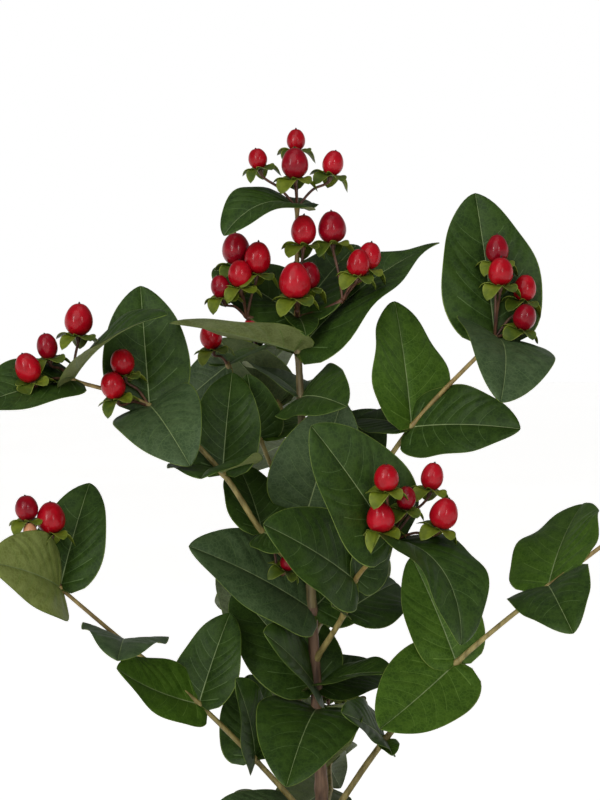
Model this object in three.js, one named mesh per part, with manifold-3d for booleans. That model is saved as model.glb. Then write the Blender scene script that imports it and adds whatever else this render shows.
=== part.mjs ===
// A St John's wort shrub with red berries, in a plain clay pot.
// One woody stem rises from the compost. Leaves sit on it in pairs, side shoots leave from the leaf axils,
// and each shoot ends in a cluster of berries, every berry on a ring of five green sepals.
// Millimetres, +Z up. The origin is the centre of the pot's flat underside, and -Y is the side first seen.

import * as THREE from 'three';
import { mergeVertices } from 'three/addons/utils/BufferGeometryUtils.js';
import Module from 'manifold-3d';

const wasm = await Module();
wasm.setup();

// Driving dimensions
const POT = { height: 150, rimRadius: 86, bandHeight: 32, bandStep: 5, footRadius: 58, wall: 7, floor: 9 };
const COMPOST_DROP = 12; // from the pot's rim down to the compost
const GAP = 0.35; // clearance between neighbouring pieces
const SLIVER = 0.02; // edges shorter than this are closed up
const GROUND = POT.height - COMPOST_DROP;

const STEM = {
  footRadius: 3.6,
  flare: 2.4, // extra radius of the foot, gone within flareHeight
  flareHeight: 14,
  tipRadius: 1.5,
  leanFrom: 230, // height where the stem starts to lean
  lean: -0.053, // sideways travel for each millimetre above that
  top: 446,
};

const LEAF = {
  broadness: 0.7, // width for each millimetre of length
  riseShape: 0.3, // the outline is t^riseShape * (1 - t)^fallShape
  fallShape: 0.66,
  lobe: 0.05, // how far the base lobes reach back past the joint, for each millimetre of length
  thickness: 0.014, // for each millimetre of length
  fold: 10, // degrees that each half is raised from flat
  droop: 24, // degrees that the midrib bends from base to tip
  stations: [0.1, 0.42, 0.78],
};

const BERRY = { length: 13, roundness: 0.92, stalkRadius: 0.6 };
const SEPALS = { count: 5, reach: 9.6, notch: 3.9, fall: 6 };
const SHOOT = { tipRadius: 0.9, sides: 4, bud: 1.7 }; // the bud is what stands past the last joint

// Turns that a leaf may take to stay clear of its neighbours: roll about its own length, and tilt towards
// or away from the light, in degrees
const TURNS = [
  [0, 0], [14, 0], [-14, 0], [0, 8], [0, -8], [28, 0], [-28, 0], [16, 10], [-16, 10], [16, -10], [-16, -10],
  [0, 17], [0, -17], [24, 18], [-24, 18], [24, -18], [-24, -18],
];

const UP = new THREE.Vector3(0, 0, 1);
const VIEWER = new THREE.Vector3(0, -1, 0.25).normalize(); // where the leaves on the seen side turn their faces
const FRONT = -1;
const BACK = 1;

// Leaf pairs on the main stem. at: height of the joint. Each leaf is
// [length, across, up, FRONT or BACK, droop, roll]: its real length, how far its tip reaches sideways and up
// from the joint, to which side its depth goes, and, in degrees, how far it bends and how far its face is
// turned from the viewer, and last how far its tip is drawn out. The last three may be left out.
const STEM_PAIRS = {
  stem_leaves_low: { at: 205, leaves: [[70, -52, 18, FRONT, 60, 20], [62, 46, 8, FRONT, 50, -30]] },
  stem_leaves_mid: { at: 271, leaves: [[70, -14, -26, FRONT, 46], [62, 0, -38, BACK, 30]] },
  stem_leaves_whorl: {
    at: 281,
    leaves: [[54, -24, 30, FRONT, 16], [64, -38, 42, BACK, 14], [44, 32, 4, BACK, 20], [46, 35, 10, FRONT, 30, -30]],
  },
  stem_leaves_broad: { at: 317, leaves: [[70, -56, 32, FRONT, 20], [56, 30, 26, BACK, 24]] },
  stem_leaves_upright: { at: 362, leaves: [[64, 16, 54, FRONT, 12, 25], [62, 34, 46, BACK, 14]] },
  stem_leaves_inner: { at: 415, leaves: [[46, -26, 13, BACK, 30, 40], [52, 31, -10, FRONT, 30, 20]] },
  stem_leaves_top: { at: 436, leaves: [[88, 66, 50, BACK, 36, -24, 1.2], [66, -58, 14, FRONT, 12, 56]] },
};

// Side shoots that show from the front. foot: height on the main stem. Each joint has its reach from the
// joint before it, as across, depth and up, its leaves, written as above, and its berries as
// [across, depth, up, length], the reach going from the joint to the foot of an upright berry.
const SHOWN_SHOOTS = {
  front_right: {
    foot: 293,
    radius: 1.5,
    joints: [
      { reach: [13.5, -14, 24], leaves: [[52, 25, 9, BACK, 24, 4], [18, -6, 5, FRONT]] },
      { reach: [4.5, -18, 17], leaves: [[64, -41, 29, FRONT, 20], [40, 15, 24, BACK, 16, 55]] },
      {
        reach: [16, -22, 20],
        leaves: [[70, -36, 53, FRONT, 14], [70, 29, -42, FRONT, 96, -34]],
        berries: [[-3, -24, 24, 12.4], [18, 0, 22.5, 12.8], [6, -12, 15, 10.8], [-7, -16, 4, 14], [23, -8, 6, 14.4]],
      },
    ],
  },
  upper_right: {
    foot: 328,
    radius: 1.5,
    joints: [
      { reach: [46, -10, 74], leaves: [[63, -7, 57, BACK, 10, 22], [57, 48, 1, FRONT, 24, 12], [38, -24, 2, BACK, 20]] },
      {
        reach: [37.5, -10, 41],
        leaves: [[70, -8, 66, BACK, 10], [68, -1, -26, FRONT, 60, -8]],
        berries: [[1, 2, 34, 13.4], [2, -9, 24, 13.2], [13.5, 2, 16, 12.6], [13, -9, 4, 12.2]],
      },
    ],
  },
  upper_left: {
    foot: 330,
    radius: 1.5,
    joints: [
      { reach: [-22, -12, 24], leaves: [[44, -12, 29, BACK], [30, 16, -6, FRONT]], berries: [[12, -8, -17, 8.6]] },
      { reach: [-18, -6, 27.5], leaves: [[50, 4, 45, BACK, 14], [62, -8, 2, FRONT, 26]] },
      {
        reach: [-33, -6, 31],
        leaves: [[58, -5, 54, BACK, 12], [58, 20, -24, FRONT, 56, -4]],
        berries: [[-16, -10, 3.5, 12.8], [-12, -4, 14, 12.4]],
      },
      {
        reach: [-34.5, -6, 12],
        leaves: [[54, -45, -12, FRONT, 20, 12], [60, 44, 30, FRONT, 44, -60]],
        berries: [[-19.5, -12, -2, 14], [-11, -5, 9.5, 12.2], [3, 0, 20, 15]],
      },
    ],
  },
  lower_left: {
    foot: 213,
    radius: 1.4,
    joints: [
      { reach: [-31, -6, 35.5], leaves: [[46, -3, 35, BACK, 16], [48, -7, 36, FRONT, 20, 60]] },
      { reach: [-25.5, -4, 26], leaves: [[46, 14, 40, BACK, 14], [54, -36, 21, FRONT, -24, 5]] },
      { reach: [-34, -4, 29], leaves: [[58, 0, -1, FRONT, 40, -32]] },
      {
        reach: [-29, -4, 25.5],
        leaves: [[60, -29, 17, FRONT, 30, -40], [54, 12, 46, BACK, 12]],
        berries: [[-15, -3, 31, 12], [-13, -8, 23, 8], [-4, -2, 25, 15]],
      },
    ],
  },
  lower_right: {
    foot: 214,
    radius: 1.6,
    joints: [
      { reach: [29, -4, 43], leaves: [[42, -29.5, 19, FRONT, 20, 30], [16, 3, -5, FRONT]] },
      { reach: [32.5, -9, 37], leaves: [[54, -20, 47, BACK, 16], [61, -36, -24, FRONT, -20]] },
      { reach: [41.5, -8, 36], leaves: [[66, 20, 33, BACK, 20, -50], [58, 7, -15, FRONT, 60, 35]] },
      {
        reach: [41, -6, 32],
        leaves: [[50, -21, 18, FRONT, 16], [52, 34, 22, BACK]],
        berries: [[-7, -6, 22, 13], [3, 4, 28, 12.5], [12, -4, 22, 13], [3, -10, 14, 12]],
      },
    ],
  },
  inner_left: {
    foot: 337,
    radius: 1.2,
    joints: [
      { reach: [-23, 17, 58], leaves: [[36, 15, 10, BACK], [36, -4, 25, FRONT]] },
      {
        reach: [-15, 8, 34],
        leaves: [[36, -22, -19, BACK, 10, -30], [44, 22, 6, BACK]],
        berries: [[-8, -6, 7.5, 12.6]],
      },
    ],
  },
};

// The top of the plant goes on from the tip of the main stem. Its first joint forks three ways.
const TOP = {
  radius: 1.35,
  joints: [
    {
      reach: [0, 0, 6],
      leaves: [[24, 4, -8, FRONT, 40], [38, -18, 5, BACK], [56, 28, 33, BACK, 16], [50, -39, 22, BACK]],
      forks: [
        { reach: [-23, -6, 0], berries: [[5, -4, 20, 15.2], [-3, -8, 14, 12.9], [-5, 4, 24, 15.2], [-12, -6, 9, 11]] },
        { reach: [21, -5, 8], berries: [[-5, 4, 26, 15.2], [7, -8, 11, 12.9], [12, -3, 14, 13]] },
        { reach: [0, -10, 4], berries: [[-1, -8, 5, 17], [5, 3, 9, 13], [3, 6, 29, 14.4]] },
      ],
    },
    {
      reach: [0, 0, 50.5],
      leaves: [[48, -33, -13, FRONT, 84, 18], [20, 7, 2, BACK]],
      berries: [[-18, -3, 17.5, 9.8], [-0.5, 8, 26, 10.4], [-1, -6, 13, 14.6], [16.5, 0, 14.5, 12]],
    },
  ],
};

// Shoots that fill the crown out on the sides the front view hides. They grow by rule from these few values,
// each inside its space, given as its left, right and top limits.
const FILL_SHOOTS = {
  back_low: { foot: 219, bearing: 84, rise: 12, joints: 3, leaf: 52, berries: 2, space: [-40, 14, 300] },
  back_mid_left: { foot: 262, bearing: 110, rise: 26, joints: 3, leaf: 54, berries: 3, space: [-50, 34, 366] },
  back_mid_right: { foot: 306, bearing: 72, rise: 26, joints: 3, leaf: 50, berries: 3, space: [-50, 38, 398] },
  back_high: { foot: 374, bearing: 100, rise: 28, joints: 3, leaf: 48, berries: 3, space: [-54, 16, 452] },
  low_front: { foot: 162, bearing: 284, rise: 4, joints: 3, leaf: 50, berries: 2, space: [-200, 200, 226] },
  low_front_left: { foot: 172, bearing: 226, rise: 6, joints: 3, leaf: 49, berries: 2, space: [-200, 200, 222] },
  low_right: { foot: 180, bearing: 336, rise: 2, joints: 3, leaf: 50, berries: 2, space: [-200, 200, 212] },
  low_left: { foot: 184, bearing: 172, rise: 0, joints: 3, leaf: 50, berries: 2, space: [-200, 200, 216] },
  low_back_left: { foot: 176, bearing: 122, rise: 8, joints: 3, leaf: 52, berries: 3, space: [-200, 200, 216] },
  low_back_right: { foot: 190, bearing: 42, rise: 4, joints: 3, leaf: 52, berries: 3, space: [-200, 200, 212] },
};
const FILL = { radius: 1.6, internode: 34, curve: 4, pairTurn: 90, spread: 58, clusterRise: 12 };

// Other ways round its twig that a leaf of these shoots may stand, as degrees and share of its length
const FILL_WAYS = [[0, 1], [24, 1], [-24, 1], [0, 0.8], [48, 0.9], [-48, 0.9], [40, 0.7], [-40, 0.7]];

// Seeded numbers from 0 to 1, the same on every run
function seeded(seed) {
  let state = seed;
  return () => {
    state = (state * 1664525 + 1013904223) % 4294967296;
    return state / 4294967296;
  };
}

const vector = (reach) => new THREE.Vector3(...reach);
const radians = THREE.MathUtils.degToRad;

function stemPoint(height) {
  return new THREE.Vector3(STEM.lean * Math.max(0, height - STEM.leanFrom), 0, height);
}

function stemRadius(height) {
  const share = (height - GROUND) / (STEM.top - GROUND);
  const flare = STEM.flare * Math.max(0, 1 - (height - GROUND) / STEM.flareHeight) ** 2;
  return THREE.MathUtils.lerp(STEM.footRadius, STEM.tipRadius, share) + flare;
}

// The unit vector of `wanted` with what lies along `along` taken out
function squareTo(wanted, along) {
  return wanted.clone().addScaledVector(along, -wanted.dot(along)).normalize();
}

// A leaf's place: base, direction of its chord, upper side and length
function placeLeaf(base, axis, light, [length, across, up, side, droop = LEAF.droop, roll = 0, fall]) {
  const bend = radians(droop);
  const chord = (length * 2 * Math.sin(bend / 2)) / bend;
  const depth = Math.sqrt(Math.max(0, chord ** 2 - across ** 2 - up ** 2));
  const along = new THREE.Vector3(across, side * depth, up).normalize();
  return leafChoices({ base, along, length, bend, axis, light, roll, fall });
}

// The places that a leaf may take, the wanted one first
function leafChoices({ base, along, length, bend, axis, light, roll, fall = LEAF.fallShape }) {
  const wanted = axis.clone().addScaledVector(UP, 0.6).addScaledVector(light, 2.4);
  const tiltAxis = light.clone().cross(along).normalize();
  return TURNS.map(([moreRoll, tilt]) => {
    const tilted = along.clone().applyAxisAngle(tiltAxis, radians(tilt));
    const above = squareTo(wanted, tilted).applyAxisAngle(tilted, radians(roll + moreRoll));
    return { base, along: tilted, above, length, bend, fall };
  });
}

// A point of the blade: t from base to tip, u from one edge (-1) to the other (1)
function bladePoint(leaf, t, u, lift) {
  const angle = leaf.bend / 2 - leaf.bend * t;
  const reach = leaf.length / leaf.bend;
  const forward = reach * (Math.sin(leaf.bend / 2) - Math.sin(angle));
  const upward = reach * (Math.cos(angle) - Math.cos(leaf.bend / 2));
  const tangent = leaf.along.clone().multiplyScalar(Math.cos(angle)).addScaledVector(leaf.above, Math.sin(angle));
  const normal = leaf.above.clone().multiplyScalar(Math.cos(angle)).addScaledVector(leaf.along, -Math.sin(angle));
  const sideways = leaf.along.clone().cross(leaf.above);
  const half = halfWidth(leaf, t) * u;
  const fold = radians(LEAF.fold);
  return leaf.base
    .clone()
    .addScaledVector(leaf.along, forward)
    .addScaledVector(leaf.above, upward)
    .addScaledVector(sideways, half * Math.cos(fold))
    .addScaledVector(normal, Math.abs(half) * Math.sin(fold) + lift)
    .addScaledVector(tangent, -LEAF.lobe * leaf.length * Math.abs(u) * (1 - t) ** 6);
}

function halfWidth({ length, fall }, t) {
  const peak = LEAF.riseShape / (LEAF.riseShape + fall);
  const outline = (x) => x ** LEAF.riseShape * (1 - x) ** fall;
  return (0.5 * length * LEAF.broadness * outline(t)) / outline(peak);
}

// Solids

function toSolid(geometry) {
  geometry.deleteAttribute('normal');
  geometry.deleteAttribute('uv');
  const merged = mergeVertices(geometry, 1e-4);
  const vertProperties = merged.attributes.position.array;
  return new wasm.Manifold(new wasm.Mesh({ numProp: 3, vertProperties, triVerts: new Uint32Array(merged.index.array) }));
}

function indexed(points, faces) {
  const geometry = new THREE.BufferGeometry().setFromPoints(points);
  return geometry.setIndex(faces);
}

// The faces between one ring of points and the next, which may have another number of points
function stitch(from, count, to, nextCount) {
  const faces = [];
  let i = 0;
  let j = 0;
  while (i < count || j < nextCount) {
    if ((i + 1) / count <= (j + 1) / nextCount) {
      faces.push(from + (i % count), from + ((i + 1) % count), to + (j % nextCount));
      i += 1;
    } else {
      faces.push(from + (i % count), to + ((j + 1) % nextCount), to + (j % nextCount));
      j += 1;
    }
  }
  return faces;
}

// A closed skin over rings of points, from a first point to a last
function loft(first, rings, last) {
  const points = [first, ...rings.flat(), last];
  const faces = [];
  let from = 1;
  rings.forEach((ring, r) => {
    const count = ring.length;
    const next = from + count;
    for (let i = 0; i < count; i += 1) {
      const beside = (i + 1) % count;
      if (r === 0) faces.push(0, from + beside, from + i);
      if (r === rings.length - 1) faces.push(next, from + i, from + beside);
    }
    if (r < rings.length - 1) faces.push(...stitch(from, count, next, rings[r + 1].length));
    from = next;
  });
  return toSolid(indexed(points, faces));
}

function bladeSolid(leaf) {
  const half = (LEAF.thickness * leaf.length) / 2;
  const rings = LEAF.stations.map((t) => [
    bladePoint(leaf, t, -1, 0),
    bladePoint(leaf, t, 0, half),
    bladePoint(leaf, t, 1, 0),
    bladePoint(leaf, t, 0, -half),
  ]);
  return loft(leaf.base, rings, bladePoint(leaf, 1, 0, 0));
}

// A tapering limb with a flat cut at each end, along a smooth curve through the points
function limbSolid(points, radiusAt, sides, steps) {
  const curve = points.length > 2 ? new THREE.CatmullRomCurve3(points) : new THREE.LineCurve3(...points);
  const rings = [];
  const across = new THREE.Vector3(0, 1, 0);
  for (let i = 0; i <= steps; i += 1) {
    const share = i / steps;
    const tangent = curve.getTangentAt(share);
    const side = squareTo(across, tangent);
    const other = tangent.clone().cross(side);
    const centre = curve.getPointAt(share);
    const radius = radiusAt(share, centre);
    rings.push(
      Array.from({ length: sides }, (_, s) => {
        const turn = (2 * Math.PI * s) / sides;
        return centre
          .clone()
          .addScaledVector(side, radius * Math.cos(turn))
          .addScaledVector(other, radius * Math.sin(turn));
      }),
    );
  }
  return loft(curve.getPoint(0), rings, curve.getPoint(1));
}

function ringOf(centre, axis, count, radiusAt, riseAt) {
  const side = squareTo(new THREE.Vector3(0.02, 1, 0.01), axis);
  return Array.from({ length: count }, (_, i) =>
    centre
      .clone()
      .addScaledVector(axis, riseAt(i))
      .addScaledVector(side.clone().applyAxisAngle(axis, (2 * Math.PI * i) / count), radiusAt(i)),
  );
}

// A stalk that widens into a star of sepals, and the berry on it, fat below and drawn in to a blunt tip
const BERRY_PROFILE = [[0.1, 0.62], [0.42, 1], [0.82, 0.66]];

function fruitSolid({ joint, base, axis, length }) {
  const size = 0.6 + (0.4 * length) / BERRY.length;
  const radius = (length * BERRY.roundness) / 2;
  const stalkEnd = base.clone().addScaledVector(axis, -0.8);
  const stalkAxis = stalkEnd.clone().sub(joint).normalize();
  const even = (i) => i % 2 === 0;
  const rings = [
    ringOf(joint, stalkAxis, 3, () => BERRY.stalkRadius, () => 0),
    ringOf(stalkEnd, axis, 3, () => BERRY.stalkRadius, () => 0),
    ringOf(
      base,
      axis,
      2 * SEPALS.count,
      (i) => size * (even(i) ? SEPALS.reach : SEPALS.notch),
      (i) => (even(i) ? -SEPALS.fall * size * (i % 4 ? 0.3 : 1) : 0),
    ),
  ];
  BERRY_PROFILE.forEach(([rise, share]) => {
    rings.push(ringOf(base, axis, SEPALS.count, () => share * radius, () => rise * length));
  });
  return loft(joint, rings, base.clone().addScaledVector(axis, length));
}

// Plans of what grows where, as twigs, leaves and berries

function berryPlan(joint, [across, depth, up, length]) {
  const centre = joint.clone().add(new THREE.Vector3(across, depth, up + length / 2));
  const axis = centre.clone().sub(joint).normalize().multiplyScalar(0.5).add(UP).normalize();
  return { joint, base: centre.addScaledVector(axis, -length / 2), axis, length };
}

function shownPlan(name, { foot, joints, radius }) {
  const points = [stemPoint(foot)];
  const plan = { name, points, radius, leaves: [], fruits: [], twigs: [] };
  joints.forEach(({ reach, leaves, berries = [], forks = [] }) => {
    const joint = points.at(-1).clone().add(vector(reach));
    const axis = vector(reach).normalize();
    points.push(joint);
    leaves.forEach((leaf) => plan.leaves.push(placeLeaf(joint, axis, VIEWER, leaf)));
    berries.forEach((berry) => plan.fruits.push(berryPlan(joint, berry)));
    forks.forEach((fork) => {
      const end = joint.clone().add(vector(fork.reach));
      plan.twigs.push([joint, end]);
      fork.berries.forEach((berry) => plan.fruits.push(berryPlan(end, berry)));
    });
  });
  return plan;
}

function fillPlan(name, { foot, bearing, rise, joints, leaf, berries, space }, seed) {
  const random = seeded(seed);
  const points = [stemPoint(foot)];
  const plan = { name, points, radius: FILL.radius, leaves: [], fruits: [], twigs: [], space };
  const firstTurn = 30 + 40 * random();
  for (let i = 0; i < joints; i += 1) {
    const heading = radians(bearing + 14 * (random() - 0.5));
    const climb = radians(rise + FILL.curve * i + 6 * (random() - 0.5));
    const flat = new THREE.Vector3(Math.cos(heading), Math.sin(heading), 0);
    const axis = flat.clone().multiplyScalar(Math.cos(climb)).addScaledVector(UP, Math.sin(climb));
    const joint = points.at(-1).clone().addScaledVector(axis, FILL.internode * (1 - 0.08 * i));
    const light = flat.clone().addScaledVector(UP, 0.5).normalize();
    points.push(joint);
    for (const side of [0, 180]) {
      const length = leaf * (1 - 0.07 * i) * (0.9 + 0.2 * random());
      const spread = radians(FILL.spread + 18 * (random() - 0.5));
      const bend = radians(LEAF.droop + 24 * random());
      const turn = firstTurn + FILL.pairTurn * i + side + 16 * (random() - 0.5);
      const choices = FILL_WAYS.flatMap(([more, share]) => {
        const outward = squareTo(UP, axis).applyAxisAngle(axis, radians(turn + more));
        const along = axis.clone().multiplyScalar(Math.cos(spread)).addScaledVector(outward, Math.sin(spread));
        return leafChoices({ base: joint, along, length: share * length, bend, axis, light, roll: 0 });
      });
      plan.leaves.push(choices);
    }
  }
  for (let i = 0; i < berries; i += 1) {
    const turn = radians(firstTurn) + (2 * Math.PI * i) / berries;
    const out = 5 + 7 * random();
    const up = FILL.clusterRise + 9 * random();
    const length = 11.5 + 2.5 * random();
    const fruit = berryPlan(points.at(-1), [out * Math.cos(turn), out * Math.sin(turn), up, length]);
    if (fruit.base.z + length < space[2]) plan.fruits.push(fruit);
  }
  return plan;
}

// Building

const root = new THREE.Group();
const built = []; // every finished piece, for keeping clear of
const foliage = []; // the leafy ones among them

const MATERIALS = {
  clay: new THREE.MeshStandardMaterial({ color: '#b5714d', roughness: 0.9, metalness: 0 }),
  compost: new THREE.MeshStandardMaterial({ color: '#33261c', roughness: 1, metalness: 0 }),
  bark: new THREE.MeshStandardMaterial({ color: '#7d5a44', roughness: 0.75, metalness: 0 }),
  foliage: new THREE.MeshStandardMaterial({ color: '#2f4a22', roughness: 0.5, metalness: 0 }),
};

function addMesh(name, solid, material) {
  const { numProp, vertProperties, triVerts } = solid.getMesh();
  const geometry = new THREE.BufferGeometry();
  geometry.setAttribute('position', new THREE.BufferAttribute(new Float32Array(vertProperties), numProp));
  geometry.setIndex(new THREE.BufferAttribute(triVerts, 1));
  geometry.computeVertexNormals();
  const mesh = new THREE.Mesh(geometry, material);
  mesh.name = name;
  root.add(mesh);
  built.push(solid);
}

// The main body of a solid, without loose scraps and slivers
function largestPart(solid) {
  const main = solid.decompose().reduce((best, part) => (part.volume() > best.volume() ? part : best));
  return main.simplify(SLIVER);
}

function lathe(profile, sides) {
  const geometry = new THREE.LatheGeometry(profile.map(([r, z]) => new THREE.Vector2(r, z)), sides);
  return toSolid(geometry.rotateX(Math.PI / 2));
}

function potRadius(height) {
  return THREE.MathUtils.lerp(POT.footRadius, POT.rimRadius - POT.bandStep, height / POT.height);
}

function buildPot() {
  const { height, rimRadius, bandHeight, footRadius, wall, floor } = POT;
  const bandFoot = height - bandHeight;
  const profile = [
    [0, 0],
    [footRadius, 0],
    [potRadius(bandFoot), bandFoot],
    [rimRadius - 1.5, bandFoot],
    [rimRadius, height],
    [potRadius(height) - wall, height],
    [potRadius(floor) - wall, floor],
    [0, floor],
  ];
  addMesh('pot', lathe(profile, 28), MATERIALS.clay);
  const inside = (z) => potRadius(z) - wall - GAP;
  const compostFoot = floor + GAP;
  const compost = [
    [0, compostFoot],
    [inside(compostFoot), compostFoot],
    [inside(GROUND), GROUND],
    [0, GROUND],
  ];
  addMesh('compost', lathe(compost, 28), MATERIALS.compost);
}

const limbs = []; // each limb grown by GAP, to cut the foliage clear of it

function buildStem() {
  const heights = [GROUND + GAP, GROUND + 8, GROUND + 18, 200, 240, 290, 340, 395, STEM.top - GAP];
  const points = heights.map(stemPoint);
  const steps = 14;
  const radiusAt = (extra) => (share, centre) => stemRadius(centre.z) + extra;
  addMesh('main_stem', limbSolid(points, radiusAt(0), 8, steps), MATERIALS.bark);
  limbs.push(limbSolid(points, radiusAt(GAP), 8, steps));
}

function shootRadius(plan, share) {
  return THREE.MathUtils.lerp(plan.radius, SHOOT.tipRadius, share);
}

// The bare foot of a shoot, from the main stem to just under its first leaf pair
function buildBough(plan) {
  const end = plan.points[1].clone().lerp(plan.points[0], 0.14);
  const middle = plan.points[0].clone().lerp(end, 0.5);
  middle.addScaledVector(squareTo(UP, end.clone().sub(plan.points[0]).normalize()), -0.05 * middle.distanceTo(end));
  const beyond = (length) => end.clone().addScaledVector(end.clone().sub(middle).normalize(), length);
  const share = 1 / (plan.points.length - 1);
  const radiusAt = (extra) => (s) => shootRadius(plan, s * share) + extra;
  const bough = limbSolid([plan.points[0], middle, end], radiusAt(0), 5, 3).subtract(limbs[0]);
  addMesh(`bough_${plan.name}`, largestPart(bough), MATERIALS.bark);
  limbs.push(limbSolid([plan.points[0], middle, beyond(0.85 * GAP)], radiusAt(GAP), 5, 3));
  plan.start = beyond(GAP);
}

function boxesMeet(a, b, margin) {
  const p = a.boundingBox();
  const q = b.boundingBox();
  return [0, 1, 2].every((i) => p.min[i] - margin < q.max[i] && q.min[i] - margin < p.max[i]);
}

function isClear(solid, others) {
  return others.every((other) => !boxesMeet(solid, other, GAP) || solid.minGap(other, 2 * GAP) > GAP);
}

// The part of a blade beyond its base, a little fuller, which has to be clear of everything else
function outerSolid(leaf) {
  const rings = [0.3, 0.58, 0.84].map((t) => [
    bladePoint(leaf, t, -1, 0),
    bladePoint(leaf, t, 0, 0.5),
    bladePoint(leaf, t, 1, 0),
    bladePoint(leaf, t, 0, -0.5),
  ]);
  return loft(bladePoint(leaf, 0.2, 0, 0), rings, bladePoint(leaf, 1, 0, 0));
}

function inSpace(leaf, [left, right, top]) {
  const marks = [bladePoint(leaf, 0.45, -1, 0), bladePoint(leaf, 0.45, 1, 0), bladePoint(leaf, 1, 0, 0)];
  return marks.every(({ x, z }) => x > left && x < right && z < top);
}

function pickLeaves(plan, others) {
  const kept = [];
  plan.leaves.forEach((choices) => {
    const beside = kept.map(outerSolid);
    const found = choices.find((leaf) => {
      if (plan.space && !inSpace(leaf, plan.space)) return false;
      const outer = outerSolid(leaf);
      if (!isClear(outer, others) || !isClear(bladeSolid(leaf), foliage)) return false;
      return beside.every((other) => outer.intersect(other).isEmpty());
    });
    if (found) kept.push(found);
  });
  return kept;
}

// A twig's line, carried on past its last joint
function withBud(line) {
  const [before, last] = line.slice(-2);
  const onward = last.clone().sub(before).normalize();
  return [...line.slice(0, -1), last.clone().addScaledVector(onward, SHOOT.bud)];
}

// Twig, leaves and berries of one shoot, fused in one solid
function buildMass(plan) {
  const line = withBud([plan.start, ...plan.points.slice(1)]);
  const first = 1 / (plan.points.length - 1);
  const radiusAt = (share) => shootRadius(plan, first + (1 - first) * share);
  const pieces = [limbSolid(line, radiusAt, SHOOT.sides, 2 * line.length - 2)];
  plan.twigs.forEach((twig) => pieces.push(limbSolid(withBud(twig), () => 0.9, 3, 1)));
  pickLeaves(plan, built).forEach((leaf) => pieces.push(bladeSolid(leaf)));
  pieces.push(...plan.fruits.map(fruitSolid).filter((fruit) => isClear(fruit, built)));
  addFoliage(`leaves_${plan.name}`, pieces);
}

function addFoliage(name, pieces) {
  const fused = wasm.Manifold.union(pieces);
  const cut = limbs.reduce((solid, limb) => (boxesMeet(solid, limb, 0) ? solid.subtract(limb) : solid), fused);
  addMesh(name, largestPart(cut), MATERIALS.foliage);
  foliage.push(built.at(-1));
}

// A leaf pair on the main stem: the two bases clasp it in a thin collar
function buildStemPair(name, { at, leaves }) {
  const joint = stemPoint(at);
  const plan = { name, leaves: leaves.map((leaf) => placeLeaf(joint, UP, VIEWER, leaf)) };
  const others = built.filter((solid) => solid !== mainStem);
  const collar = limbSolid([stemPoint(at - 1.6), stemPoint(at + 1.6)], () => stemRadius(at) + 1.5, 6, 1);
  addFoliage(name, [collar, ...pickLeaves(plan, others).map((leaf) => bladeSolid(leaf))]);
}

buildPot();
buildStem();
const mainStem = built.at(-1);
const shown = Object.entries(SHOWN_SHOOTS).map(([name, shoot]) => shownPlan(name, shoot));
const fill = Object.entries(FILL_SHOOTS).map(([name, shoot], i) => fillPlan(name, shoot, 101 + 37 * i));
const top = shownPlan('top', { ...TOP, foot: STEM.top });
top.start = stemPoint(STEM.top);
[...shown, ...fill].forEach(buildBough);
shown.slice(0, 1).forEach(buildMass);
Object.entries(STEM_PAIRS).forEach(([name, pair]) => buildStemPair(name, pair));
buildMass(top);
shown.slice(1).forEach(buildMass);
fill.forEach(buildMass);

export default root;
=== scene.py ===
# A St John's wort shrub with red berries, in a plain clay pot
import math
import random

import bpy
import numpy as np
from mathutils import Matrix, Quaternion, Vector, noise
from mathutils.kdtree import KDTree


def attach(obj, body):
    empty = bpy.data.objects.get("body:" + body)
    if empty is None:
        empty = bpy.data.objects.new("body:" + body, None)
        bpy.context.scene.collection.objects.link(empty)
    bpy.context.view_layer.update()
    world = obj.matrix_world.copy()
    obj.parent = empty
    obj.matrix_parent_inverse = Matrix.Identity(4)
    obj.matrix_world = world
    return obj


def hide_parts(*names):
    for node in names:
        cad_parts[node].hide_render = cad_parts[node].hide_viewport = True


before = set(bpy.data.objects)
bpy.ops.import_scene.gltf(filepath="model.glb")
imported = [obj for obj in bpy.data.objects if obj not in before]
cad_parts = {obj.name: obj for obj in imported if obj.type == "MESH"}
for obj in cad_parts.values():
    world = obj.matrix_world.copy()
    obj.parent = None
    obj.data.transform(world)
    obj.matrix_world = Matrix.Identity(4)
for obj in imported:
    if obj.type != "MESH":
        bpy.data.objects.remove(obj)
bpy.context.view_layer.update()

mm = 0.001  # lengths below are millimetres, as in the CAD
front = -1
back = 1
up = Vector((0, 0, 1))
viewer = Vector((0, -1, 0.25)).normalized()  # where the leaves of the seen side turn their faces
sideHint = Vector((0.02, 1, 0.01))  # a way that no axis runs, to start a ring from
random.seed(41)


# Mesh making

def newPile():
    return {"points": [], "faces": [], "paints": [], "count": 0}


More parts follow.
